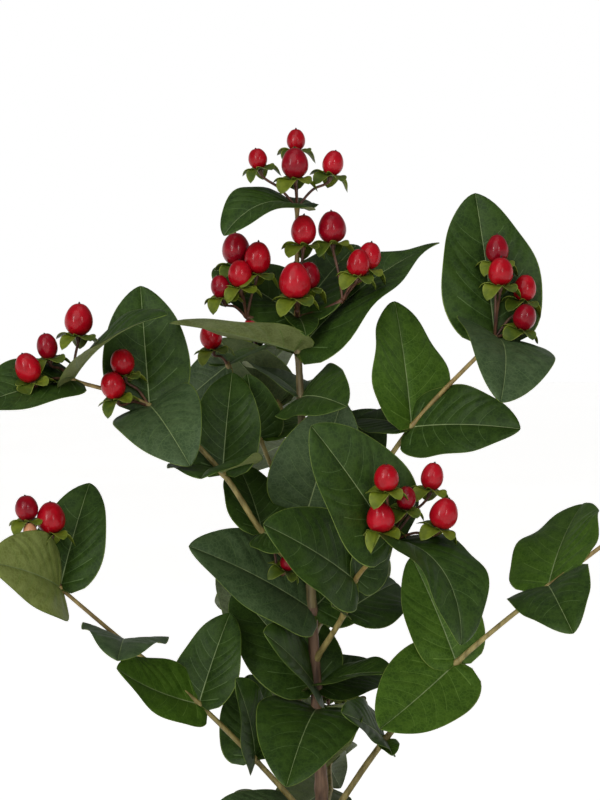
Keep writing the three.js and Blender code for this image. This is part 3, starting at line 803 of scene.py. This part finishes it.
def addLeaf(pile, leaf, tint, below):
    rows = leafRows()
    length = leaf["length"]
    t = np.array([row[0] for row in rows])
    phase = np.array([row[1] for row in rows])
    isVein = np.array([row[2] for row in rows])
    veinHalf = leafShape["veinWidth"] / length / 2
    t = t + np.where(isVein, -veinHalf, 0) + np.where(np.roll(isVein, 1), veinHalf, 0)
    half = halfWidth(leaf, t)
    ribHalf = leafShape["ribWidth"] / 2 * (1 - leafShape["ribTaper"] * t)
    rib = np.minimum(leafShape["mostRib"], ribHalf / half)
    edge = np.maximum(1 - leafShape["mostMargin"], 1 - leafShape["marginWidth"] / half)
    inner = [rib + (edge - rib) * share for share in leafShape["columns"]]
    oneSide = np.stack([np.zeros_like(t), rib, *inner, edge, np.ones_like(t)], axis=1)
    u = np.concatenate([-oneSide[:, :0:-1], oneSide], axis=1)
    away = np.abs(u)
    sweep = leafShape["sweep"] * (1 - t) * (1 - np.clip(1 - t / leafShape["sweepFrom"], 0, 1) ** 2)
    sweep[0] = 0
    swept = t[:, None] + sweep[:, None] * away ** leafShape["veinCurve"]
    across = np.minimum(swept, 1 - leafShape["tipGap"])
    quilt = np.sin(math.pi * phase[:, None]) ** 2 * np.clip(away * (1 - away) * 4, 0, 1)
    scale = length / leafShape["usualLength"]
    waves = random.uniform(*leafShape["waves"])
    leftStart, rightStart = random.uniform(0, 6.28), random.uniform(0, 6.28)
    height = leafShape["wave"] * scale * random.uniform(*leafShape["waveHeights"])
    wave = height * away**2 * np.sin(2 * math.pi * waves * across + np.where(u < 0, leftStart, rightStart))
    wave *= np.clip(4 * across * (1 - across), 0, 1)
    cup = leafShape["cup"] * length * away * (1 - away)
    middle = wave + cup + leafShape["quilt"] * scale * quilt
    thick = leafShape["thickness"] / 2 * (1 - away**6)
    thick[[0, -1]] = 0
    bare = away < 1e-9
    upper = middle + thick - np.where(bare, leafShape["ribSink"], 0)
    lower = middle - thick - np.where(bare, leafShape["ribRidge"] * (1 - t[:, None]), 0)
    top = bladePoints(leaf, across, u, upper)
    bottom = bladePoints(leaf, across, u, lower)
    rings = np.concatenate([top, bottom[:, -2:0:-1]], axis=1)
    columns = u.shape[1]
    strips = columns - 1
    middleColumn = columns // 2
    paints = np.full((len(rows) - 1, 2 * strips), leafPaint[tint])
    paints[:, strips:] = leafPaint[below]
    veinRows = np.flatnonzero(isVein)
    inset = leafShape["veinInset"]
    vein = "lightVein" if tint in ("grass", "olive", "pale") else "darkVein"
    for offset in (0, strips):
        paints[veinRows, offset + inset:offset + strips - inset] = leafPaint[vein]
        paints[:, [offset, offset + strips - 1]] = leafPaint["margin"]
        paints[:, [offset + middleColumn - 1, offset + middleColumn]] = leafPaint["midrib"]
    ends = [top[0].mean(axis=0), top[-1].mean(axis=0)]
    addSkin(pile, rings, paints, ends, strips)


# Tones of the leaves in the order of the plan; the others get theirs by chance
tints = {
    "top": ["deep", "olive", "deep", "deep", "deep", "deep"],
    "upper_right": ["grass", "deep", "deep", "deep", "grey"],
    "upper_left": ["deep", "deep", "deep", "deep", "deep", "grey", "deep", "deep"],
    "lower_right": ["deep", "grass", "grass", "grass", "grass", "deep", "deep", "deep"],
    "front_right": ["deep", "olive", "deep", "deep", "deep", "deep"],
    "broad": ["grey", "deep"],
    "lower_left": ["deep", "deep", "deep", "grass", "grey", "pale", "deep"],
}
leafGroups = {
    "stemLeaves": stemPlans + [topPlan],
    "crownLeaves": [plan for plan in shownPlans if not plan["name"].startswith("lower")],
    "lowerLeaves": [plan for plan in shownPlans if plan["name"].startswith("lower")],
    "backLeaves": fillPlans[:4],
    "footLeaves": fillPlans[4:],
}
for pieceName, group in leafGroups.items():
    pile = newPile()
    for plan in group:
        # Leaves inside the shrub and on the back and foot shoots take the darker underside, painted shade
        isShaded = plan["name"] == "inner_left" or plan in fillPlans
        below = "shadedUnderside" if isShaded else "underside"
        names = tints.get(plan["name"], [])
        for order, leaf in zip(plan["order"], plan["leaves"]):
            name = names[order] if order < len(names) else random.choice(["deep", "deep", "grass", "grey"])
            addLeaf(pile, leaf, name, below)
    makePiece(pieceName, pile, leafMaterials, [plan["node"] for plan in group])


# Stem, boughs and twigs

wood = {
    "step": 1.2,
    "sides": 20,
    "boughSides": 14,
    "twigSides": 12,
    "forkSides": 10,
    "stalkSides": 8,
    "stemRough": 0.09,  # height of the threads, as a share of the radius
    "boughRough": 0.07,
    "twigRough": 0.04,
    "ridge": 0.05,  # height of the two raised lines, as a share of the radius
    "ridgeSharpness": 6,
    "threads": 1.6,
    "threadPull": 0.12,  # how slowly the threads change along the wood
    "drift": 0.05,
    "threadNoise": [(1, 1.4), (0.5, 3.7)],  # share and fineness
    "collar": 0.7,  # how much thicker a bough starts, over the first rings
    "collarRings": 6,
    "joint": 0.45,
    "jointLength": 2.2,
    "tipRadius": 0.9,
    "bud": 1.7,
    "boughShare": 0.88,  # of the first internode, where the bough ends and its mass begins
    "lowJoints": [156, 178, 234],  # where older leaves have gone
}


# Radii round each ring: two raised lines, fine lengthwise threads and a swelling at every joint
def barkRadii(line, radii, sides, joints, rough):
    turns = turnsOf(sides)
    out = []
    for centre, radius in zip(line, radii):
        swell = sum(
            math.exp(-(((Vector(centre) - joint).length / wood["jointLength"]) ** 2)) for joint in joints
        )
        ring = []
        for turn in turns:
            spot = Vector((math.cos(turn), math.sin(turn), 0)) * wood["threads"]
            spot += Vector((0, 0, centre[2] * wood["threadPull"])) + Vector(centre) * wood["drift"]
            thread = sum(share * noise.noise(spot * size) for share, size in wood["threadNoise"])
            ridge = max(0, math.cos(2 * turn)) ** wood["ridgeSharpness"]
            ring.append(radius * (1 + rough * thread + wood["ridge"] * ridge) + wood["joint"] * min(1, swell))
        out.append(ring)
    return np.array(out)


woodPile = newPile()
pairHeights = [pair["at"] for pair in stemPairs.values()]
heights = np.arange(stem["ground"] - 6, stem["top"] + 0.1, wood["step"])
stemLine = [stemPoint(height) for height in heights]
stemJoints = [stemPoint(height) for height in pairHeights + wood["lowJoints"]]
stemRadii = [stemRadius(height) for height in heights]
stemRadii = barkRadii(stemLine, stemRadii, wood["sides"], stemJoints, wood["stemRough"])
stemPaint = (heights[:-1] > stemPairs["broad"]["at"]).astype(int)[:, None]
addTube(woodPile, stemLine, stemRadii, wood["sides"], stemPaint)
twigPile = newPile()
shoots = shownPlans + [topPlan] + fillPlans
for plan in shoots:
    points = plan["points"]
    last = points[-1] + (points[-1] - points[-2]).normalized() * wood["bud"]
    line = smoothLine(points[:-1] + [last], wood["step"])
    shares = np.linspace(0, 1, len(line))
    radii = plan["radius"] + (wood["tipRadius"] - plan["radius"]) * shares
    split = 0
    if plan is not topPlan:
        firstLength = wood["boughShare"] * (points[1] - points[0]).length
        split = int(np.argmax(np.linalg.norm(line - np.array(points[0]), axis=1) > firstLength))
        part = line[:split + 1]
        radii[:wood["collarRings"]] += np.linspace(wood["collar"], 0, wood["collarRings"])
        boughRadii = barkRadii(part, radii[:split + 1], wood["boughSides"], [], wood["boughRough"])
        addTube(woodPile, part, boughRadii, wood["boughSides"], 2)
    part = line[max(0, split - 1):]
    radii = radii[max(0, split - 1):]
    twigRadii = barkRadii(part, radii, wood["twigSides"], points[1:], wood["twigRough"])
    spans = [np.linalg.norm(part[:-1] - np.array(joint), axis=1) for joint in points[1:]]
    lastStart = int(np.argmin(spans[-2])) if len(spans) > 1 else 0
    paint = (np.arange(len(part) - 1) > lastStart).astype(int)[:, None]
    addTube(twigPile, part, twigRadii, wood["twigSides"], paint)
    for start, end in plan["forks"]:
        forkLine = smoothLine([start, start.lerp(end, 0.5) - up, end], wood["step"])
        forkRadii = [wood["tipRadius"]] * len(forkLine)
        forkRadii = barkRadii(forkLine, forkRadii, wood["forkSides"], [end], wood["twigRough"])
        addTube(twigPile, forkLine, forkRadii, wood["forkSides"], 2)
woodNodes = ["main_stem"] + [f"bough_{plan['name']}" for plan in shownPlans + fillPlans]
makePiece("stemAndBoughs", woodPile, [bark, oliveBark, youngBark], woodNodes)


# Berries, each on its stalk and ring of sepals

fruitShape = {
    "width": 0.92,  # of a plump berry, as a share of its length
    "slim": (0.84, 0.98),
    "egg": (0.06, 0.2),
    "sides": 28,
    "rows": 17,
    "groove": 0.03,
    "grooves": 3,
    "grooveSharpness": 16,
    "dimple": 0.35,  # at the tip, round the style
    "dimpleSharpness": 12,
    "unripe": 8.5,  # berries up to this length are unripe
    "usualLength": 13,
    "leafGap": 1.2,  # kept free between a berry and a blade
    "leafStep": 2.2,  # the most that a berry moves in one of the rounds
    "leafRounds": 4,
}
# The dried style at the tip. Each point of its line is a share of its height and of its lean
style = {
    "sunk": 0.7,
    "lean": (-0.3, 0.3),
    "height": (0.35, 0.6),
    "line": [(0, 0), (1, 0), (1.6, 0.4), (2, 0.6)],
    "radii": [0.62, 0.5, 0.3, 0.12],
    "sides": 7,
}
stalk = {
    "radius": 0.62,
    "sag": (0.02, 0.08),
    "head": [0.8, 1.2, 1.5],  # radii where it widens under the berry
    "foot": 0.25,
    "under": 0.8,  # how far under the berry it ends
}
sepalShape = {
    "number": 5,
    "reach": 10.2,
    "fall": 6,
    "levelShare": 0.3,  # every second sepal falls only this share of it
    "halfWidth": 4.3,
    "rows": 10,
    "columns": [-1, -0.9, -0.62, -0.25, 0, 0.25, 0.62, 0.9, 1],
    "thickness": 0.3,
    "cup": 1.3,
    "widths": (0.85, 1.15),
    "curls": (-0.6, 1.2),
    "start": (0.5, -0.5),
    "knee": 0.55,  # where it turns over, as a share of its reach
    "leafGap": 0.9,  # kept free above a blade
    "leafRim": 3,  # how far past its rim
    "lightShare": 0.6,  # of the sepals are the light ones
    "marginPaint": 2,
}
spotGrid = {"along": (0.04, 0.98, 24), "across": (-0.96, 0.96, 13)}
berryPile = newPile()
sepalPile = newPile()


# Spots all over the blades, each with the way its upper face looks
def bladeSpots():
    t, u = np.meshgrid(np.linspace(*spotGrid["along"]), np.linspace(*spotGrid["across"]), indexing="ij")
    spots, normals = [], []
    for leaf in [leaf for plan in plans for leaf in plan["leaves"]]:
        points = bladePoints(leaf, t, u, np.zeros_like(t))
        normal = np.cross(np.gradient(points, axis=0), np.gradient(points, axis=1))
        normal /= np.linalg.norm(normal, axis=2)[..., None]
        normal *= np.sign(normal @ np.array(leaf["above"]))[..., None]
        spots.append(points.reshape(-1, 3))
        normals.append(normal.reshape(-1, 3))
    return treeOf(np.vstack(spots)), np.vstack(normals)


spotTree, spotNormals = bladeSpots()


# Moves a berry off the blade that it would cut through, on to the face that most of it is on
def restOnLeaf(fruit):
    half = fruit["axis"] * fruit["length"] / 2
    centre = fruit["base"] + half
    clear = packed["radius"] * fruit["length"] + fruitShape["leafGap"]
    for _ in range(fruitShape["leafRounds"]):
        spot, index, distance = spotTree.find(centre)
        if distance < clear:
            normal = Vector(spotNormals[index])
            height = (centre - spot).dot(normal)
            side = 1 if height > -0.5 * clear else -1
            away = (centre - spot + normal * side * clear).normalized()
            centre = centre + away * min(fruitShape["leafStep"], clear - side * height)
    fruit["base"] = centre - half


# A sepal's point, lifted to lie on the blade where it would cut through, on the side of its berry's centre
def layOnLeaf(point, centre):
    spot, index, distance = spotTree.find(point)
    normal = spotNormals[index]
    side = 1 if (centre - spot).dot(normal) > 0 else -1
    height = side * normal.dot(point - np.array(spot))
    beside = math.sqrt(max(0, distance**2 - height**2))
    if beside > sepalShape["leafRim"] or height > sepalShape["leafGap"]:
        return point
    return point + normal * side * (sepalShape["leafGap"] - height)


def addBerry(fruit, paint):
    base, axis, length = np.array(fruit["base"]), np.array(fruit["axis"]), fruit["length"]
    side = np.array(squareTo(sideHint, fruit["axis"]))
    other = np.cross(axis, side)
    slim = random.uniform(*fruitShape["slim"])
    egg = random.uniform(*fruitShape["egg"])
    start = random.uniform(0, 2)
    turns = turnsOf(fruitShape["sides"])
    seams = np.cos(fruitShape["grooves"] / 2 * (turns - start))
    groove = 1 - fruitShape["groove"] * seams ** fruitShape["grooveSharpness"]
    outward = groove[:, None] * circle(turns, side, other)
    rings = []
    for row in range(1, fruitShape["rows"]):
        polar = math.pi * row / fruitShape["rows"]
        radius = fruitShape["width"] * slim * length / 2 * math.sin(polar) * (1 + egg * math.cos(polar))
        dimple = fruitShape["dimple"] * max(0, -math.cos(polar)) ** fruitShape["dimpleSharpness"]
        height = length * (1 - math.cos(polar)) / 2 - dimple
        rings.append(base + axis * height + radius * outward)
    addSkin(berryPile, np.array(rings), paint, [base, base + axis * (length - 0.4)])
    tip = base + axis * (length - style["sunk"])
    lean = side * random.uniform(*style["lean"]) + other * random.uniform(*style["lean"])
    point = random.uniform(*style["height"])
    styleLine = [tip + axis * point * rise + lean * aside for rise, aside in style["line"]]
    addTube(berryPile, styleLine, style["radii"], style["sides"], len(berryTones))


# One ovate sepal, from under the berry along a curve out and down to its tip
def addSepal(root, outward, axis, reach, fall, paint, centre):
    count = sepalShape["rows"]
    width = sepalShape["halfWidth"] * reach / sepalShape["reach"] * random.uniform(*sepalShape["widths"])
    curl = random.uniform(*sepalShape["curls"])
    sideways = np.cross(axis, outward)
    u = np.array(sepalShape["columns"])
    knee = (sepalShape["knee"] * reach, 1 + curl)
    start, middle, end = np.array([sepalShape["start"], knee, (reach, -fall)])
    rings = []
    for row in range(count + 1):
        s = row / count
        spot = curve(start, middle, end, s)
        slope = 2 * (1 - s) * (middle - start) + 2 * s * (end - middle)
        slope /= np.linalg.norm(slope)
        normal = axis * slope[0] - outward * slope[1]
        half = max(0.05, width * (0.5 * (1 - s) + 2.4 * s**0.9 * (1 - s) ** 0.7))
        dish = sepalShape["cup"] * (u**2) * math.sin(math.pi * min(1, s * 1.1))
        thick = sepalShape["thickness"] / 2 * (1 - u**4) * math.sin(math.pi * (0.04 + 0.92 * s)) ** 0.5
        along = root + outward * spot[0] + axis * spot[1]
        sheet = along + (half * u)[:, None] * sideways + dish[:, None] * normal
        sheet = np.array([layOnLeaf(point, centre) for point in sheet])
        top = sheet + thick[:, None] * normal
        bottom = sheet - thick[:, None] * normal
        rings.append(np.concatenate([top, bottom[-2:0:-1]]))
    strips = len(u) - 1
    paints = np.full((count, 2 * strips), paint)
    paints[:, [0, strips - 1, strips, 2 * strips - 1]] = sepalShape["marginPaint"]
    addSkin(sepalPile, np.array(rings), paints, upperStrips=strips)


def addFruit(fruit):
    restOnLeaf(fruit)
    isRipe = fruit["length"] > fruitShape["unripe"]
    # Tone 1 is the darker copy, painted shade, dealt out at random among the ripe tones
    addBerry(fruit, random.choices([0, 1, 2], [5, 3, 2])[0] if isRipe else 3)
    size = 0.6 + 0.4 * fruit["length"] / fruitShape["usualLength"]
    axis = fruit["axis"]
    side = squareTo(sideHint, axis)
    foot = fruit["base"] - axis * stalk["under"]
    for k in range(sepalShape["number"]):
        outward = np.array(turned(side, axis, 360 * k / sepalShape["number"]))
        fall = sepalShape["fall"] * size * (1 if k % 2 == 0 else sepalShape["levelShare"])
        # Painted shade: most sepals take the lit skin, the others its darker shaded copy, at random
        shade = 0 if random.random() < sepalShape["lightShare"] else 1
        centre = fruit["base"] + axis * fruit["length"] / 2
        reach = sepalShape["reach"] * size
        addSepal(np.array(fruit["base"]), outward, np.array(axis), reach, fall, shade, centre)
    joint = fruit["joint"]
    middle = joint.lerp(foot, 0.5) + (foot - joint).length * random.uniform(*stalk["sag"]) * up
    line = smoothLine([joint, middle, foot - axis * 2, foot + axis * 0.9], wood["step"])
    radii = np.full(len(line), stalk["radius"])
    radii[-3:] = stalk["head"]
    radii[:2] += stalk["foot"]
    addTube(twigPile, line, radii, wood["stalkSides"], 2)


for plan in shoots:
    for fruit in plan["fruits"]:
        addFruit(fruit)
fruitNodes = [plan["node"] for plan in shoots]
makePiece("twigs", twigPile, [youngBark, turningBark, redStalk], fruitNodes)
makePiece("berries", berryPile, berryMaterials, fruitNodes)
makePiece("sepals", sepalPile, sepalMaterials, fruitNodes)


# Pot, and the compost in it

pot = {"height": 150, "rim": 86, "band": 32, "step": 5, "foot": 58, "wall": 7, "floor": 9, "sides": 112}
# Height of the throwing rings, and height and size of each kind of unevenness
potRelief = {"rings": 0.14, "lumps": [(0.35, 34), (0.1, 7)]}


def potRadius(height):
    return pot["foot"] + (pot["rim"] - pot["step"] - pot["foot"]) * height / pot["height"]


# A profile with each corner rounded by its own radius, and points at most a step apart
def roundedProfile(corners, step):
    points = [np.array(corners[0][:2], float)]
    for before, corner, after in zip(corners, corners[1:], corners[2:]):
        spot = np.array(corner[:2], float)
        backwards = np.array(before[:2]) - spot
        onwards = np.array(after[:2]) - spot
        entry = spot + backwards / np.linalg.norm(backwards) * corner[2]
        leave = spot + onwards / np.linalg.norm(onwards) * corner[2]
        for s in np.linspace(0, 1, 6):
            points.append(curve(entry, spot, leave, s))
    points.append(np.array(corners[-1][:2], float))
    line = [points[0]]
    for a, b in zip(points, points[1:]):
        count = max(1, math.ceil(np.linalg.norm(b - a) / step))
        line += [a + (b - a) * k / count for k in range(1, count + 1)]
    return line


def potBulge(x, y, z):
    radius = math.hypot(x, y)
    if z < 1 or radius < 1:
        return 1, 0
    rings = potRelief["rings"] * math.sin(z * 1.5 + 2 * noise.noise(Vector((0, 0, z / 9))))
    lump = sum(height * noise.noise(Vector((x, y, z)) / size) for height, size in potRelief["lumps"])
    return 1 + (rings + lump) / radius, 0


bandFoot = pot["height"] - pot["band"]
# Each corner's reach, height and rounding
potCorners = [
    (0.5, 0, 0),
    (pot["foot"], 0, 2),
    (potRadius(bandFoot), bandFoot, 1.2),
    (pot["rim"] - 1.5, bandFoot, 1.6),
    (pot["rim"], pot["height"], 2.6),
    (potRadius(pot["height"]) - pot["wall"], pot["height"], 2.6),
    (potRadius(pot["floor"]) - pot["wall"], pot["floor"], 3),
    (0.5, pot["floor"], 0),
]
potPile = newPile()
addLathe(potPile, roundedProfile(potCorners, 1.6), pot["sides"], 0, potBulge)
makePiece("clayPot", potPile, [clay], ["pot"])


# scattered: crumbs, bark chips and perlite, each as a number, a least and a greatest size, and a thickness
soil = {
    "depth": 16,
    "lumps": [(1.8, 19), (1.1, 6), (0.5, 2.2)],  # height and size of each kind of unevenness
    "heap": (2.4, 14),  # height and reach of the soil drawn up round the stem
    "scattered": [(900, 0.8, 2.2, 0.8), (130, 2.4, 5.5, 0.28), (46, 0.9, 1.9, 0.9)],
    "lumpRows": 5,
    "lumpSides": 7,
    "lumpRough": (0.78, 1.12),
    "lumpLift": 0.2,  # how high its middle lies above the surface, as a share of its height
    "chipTilt": (-18, 18),
    "stemClear": 6,  # kept free round the stem
    "sides": 128,
    "ringStep": 1.5,
}


def soilHeight(x, y):
    spot = Vector((x, y, 0))
    heapHeight, heapReach = soil["heap"]
    uneven = sum(height * noise.noise(spot / size) for height, size in soil["lumps"])
    return uneven + heapHeight * math.exp(-((math.hypot(x, y) / heapReach) ** 2))


def soilBulge(x, y, z):
    return 1, soilHeight(x, y) if z > stem["ground"] - 1 else 0


soilRadius = potRadius(stem["ground"]) - pot["wall"] - 0.1
soilProfile = [(0.5, stem["ground"] - soil["depth"]), (soilRadius - 2.5, stem["ground"] - soil["depth"])]
soilProfile += [(radius, stem["ground"]) for radius in np.arange(soilRadius, 0.4, -soil["ringStep"])]
soilPile = newPile()
addLathe(soilPile, soilProfile, soil["sides"], 0, soilBulge)


# A small broken lump, pressed a little into the surface
def addLump(spot, sizes, paint):
    tilt = Vector([random.uniform(-1, 1) for _ in range(3)]).normalized()
    turn = random.uniform(0, 180) if sizes[2] > 0.6 * sizes[0] else random.uniform(*soil["chipTilt"])
    spin = random.uniform(0, 360)
    rings = []
    for row in range(1, soil["lumpRows"]):
        polar = math.pi * row / soil["lumpRows"]
        ring = []
        for k in range(soil["lumpSides"]):
            angle = 2 * math.pi * k / soil["lumpSides"]
            across = math.sin(polar)
            point = Vector((math.cos(angle) * across, math.sin(angle) * across, -math.cos(polar)))
            point *= random.uniform(*soil["lumpRough"])
            ring.append(turned(turned(point * Vector(sizes), up, spin), tilt, turn) + spot)
        rings.append(ring)
    addSkin(soilPile, np.array(rings), paint)


def scatter(count, low, high, flat, paint):
    for _ in range(count):
        size = random.uniform(low, high)
        reach = (soilRadius - 1.2 * size) * math.sqrt(random.random())
        angle = random.uniform(0, 2 * math.pi)
        x, y = reach * math.cos(angle), reach * math.sin(angle)
        if math.hypot(x, y) < soil["stemClear"] + size:
            continue
        spot = Vector((x, y, stem["ground"] + soilHeight(x, y) + soil["lumpLift"] * size * flat))
        addLump(spot, (size, size * random.uniform(0.6, 1), size * flat), paint)


for paint, kind in enumerate(soil["scattered"]):
    scatter(*kind, paint)
makePiece("compostSurface", soilPile, [peat, chip, perlite], ["compost"])


# Studio

studio = {
    "distance": 1500,
    "elevation": 3,
    "aim": (-10.1, 0, 414),
    "lens": 146.6,
    "room": 0.2,  # brightness of the room above the white walls
    "walls": [(0.1, 0.3), (0.06, 0.16)],  # slopes between which the high and the low wall fade out
    "turnOver": 0.3,  # where one wall has gone over into the other
    "floorHalf": 9,  # metres
    "paperGlow": 0.6,
    "skylight": 1.12,
    "skylightSpread": 50,
    # Place and size in metres, and power
    "leftSoftbox": [(-1.1, -1.5, 0.9), (0.15, 0.9), 9],
    "rightSoftbox": [(0.7, -1.8, 1.0), (0.1, 0.8), 7],
    "topSoftbox": [(0.1, -0.4, 2.0), (1, 1), 3],
}


def pointAt(item, target):
    item.rotation_euler = (target - item.location).to_track_quat("-Z", "Y").to_euler()


def addSoftbox(name, place, size, power):
    lamp = bpy.data.lights.new(name, "AREA")
    lamp.shape = "RECTANGLE"
    lamp.size, lamp.size_y = size
    lamp.energy = power
    item = newObject(name, lamp)
    item.location = place
    pointAt(item, Vector((0, 0, 0.4)))


floorMesh = bpy.data.meshes.new("studioFloor")
half = studio["floorHalf"]
corners = [(-half, -half, 0), (half, -half, 0), (half, half, 0), (-half, half, 0)]
floorMesh.from_pydata(corners, [], [(0, 1, 2, 3)])
# Matt white background paper. It glows a little, so that it is as blank as the photo's background
paperGlow = {"Emission_Color": linear("#ffffff"), "Emission_Strength": studio["paperGlow"]}
paper = newMaterial("studio paper", ["#f4f3f0", "#f7f6f4"], 400, 60, (0.85, 0.95), 0, **paperGlow)
floorMesh.materials.append(paper)
newObject("studioFloor", floorMesh)

camera = bpy.data.cameras.new("camera")
camera.lens = studio["lens"]
camera.sensor_width = 36
cameraItem = newObject("camera", camera)
tilt = math.radians(studio["elevation"])
aim = Vector(studio["aim"]) * mm
cameraItem.location = aim + Vector((0, -math.cos(tilt), math.sin(tilt))) * studio["distance"] * mm
cameraItem.rotation_euler = (math.pi / 2 - tilt, 0, 0)
bpy.context.scene.camera = cameraItem

for name in ("leftSoftbox", "rightSoftbox", "topSoftbox"):
    addSoftbox(name, *studio[name])
sun = bpy.data.lights.new("skylight", "SUN")
sun.energy = studio["skylight"]
sun.angle = math.radians(studio["skylightSpread"])
sunItem = newObject("skylight", sun)
sunItem.location = (-0.9, -2.2, 1.7)
pointAt(sunItem, Vector())

world = bpy.data.worlds.new("studio")
bpy.context.scene.world = world
world.use_nodes = True
sky = world.node_tree
sky.nodes["Background"].inputs["Color"].default_value = linear("#ffffff")
skyPlace = addNode(sky, "ShaderNodeTexCoord", {}, {})
direction = addNode(sky, "ShaderNodeSeparateXYZ", {}, {0: skyPlace.outputs["Generated"]})
# White walls stand round the plant: high behind it, and low behind the camera, where the room is dim
walls = []
for low, high in studio["walls"]:
    limits = {"From Min": low, "From Max": high, "To Min": 1, "To Max": studio["room"]}
    walls.append(addNode(sky, "ShaderNodeMapRange", limits, {"Value": direction.outputs["Z"]}).outputs[0])
ends = {"Value": direction.outputs["Y"], "To Min": walls[1], "To Max": walls[0]}
room = addNode(sky, "ShaderNodeMapRange", {"From Min": 0, "From Max": studio["turnOver"]}, ends)
sky.links.new(room.outputs[0], sky.nodes["Background"].inputs["Strength"])
bpy.context.scene.view_settings.view_transform = "Standard"
print("studio set up")
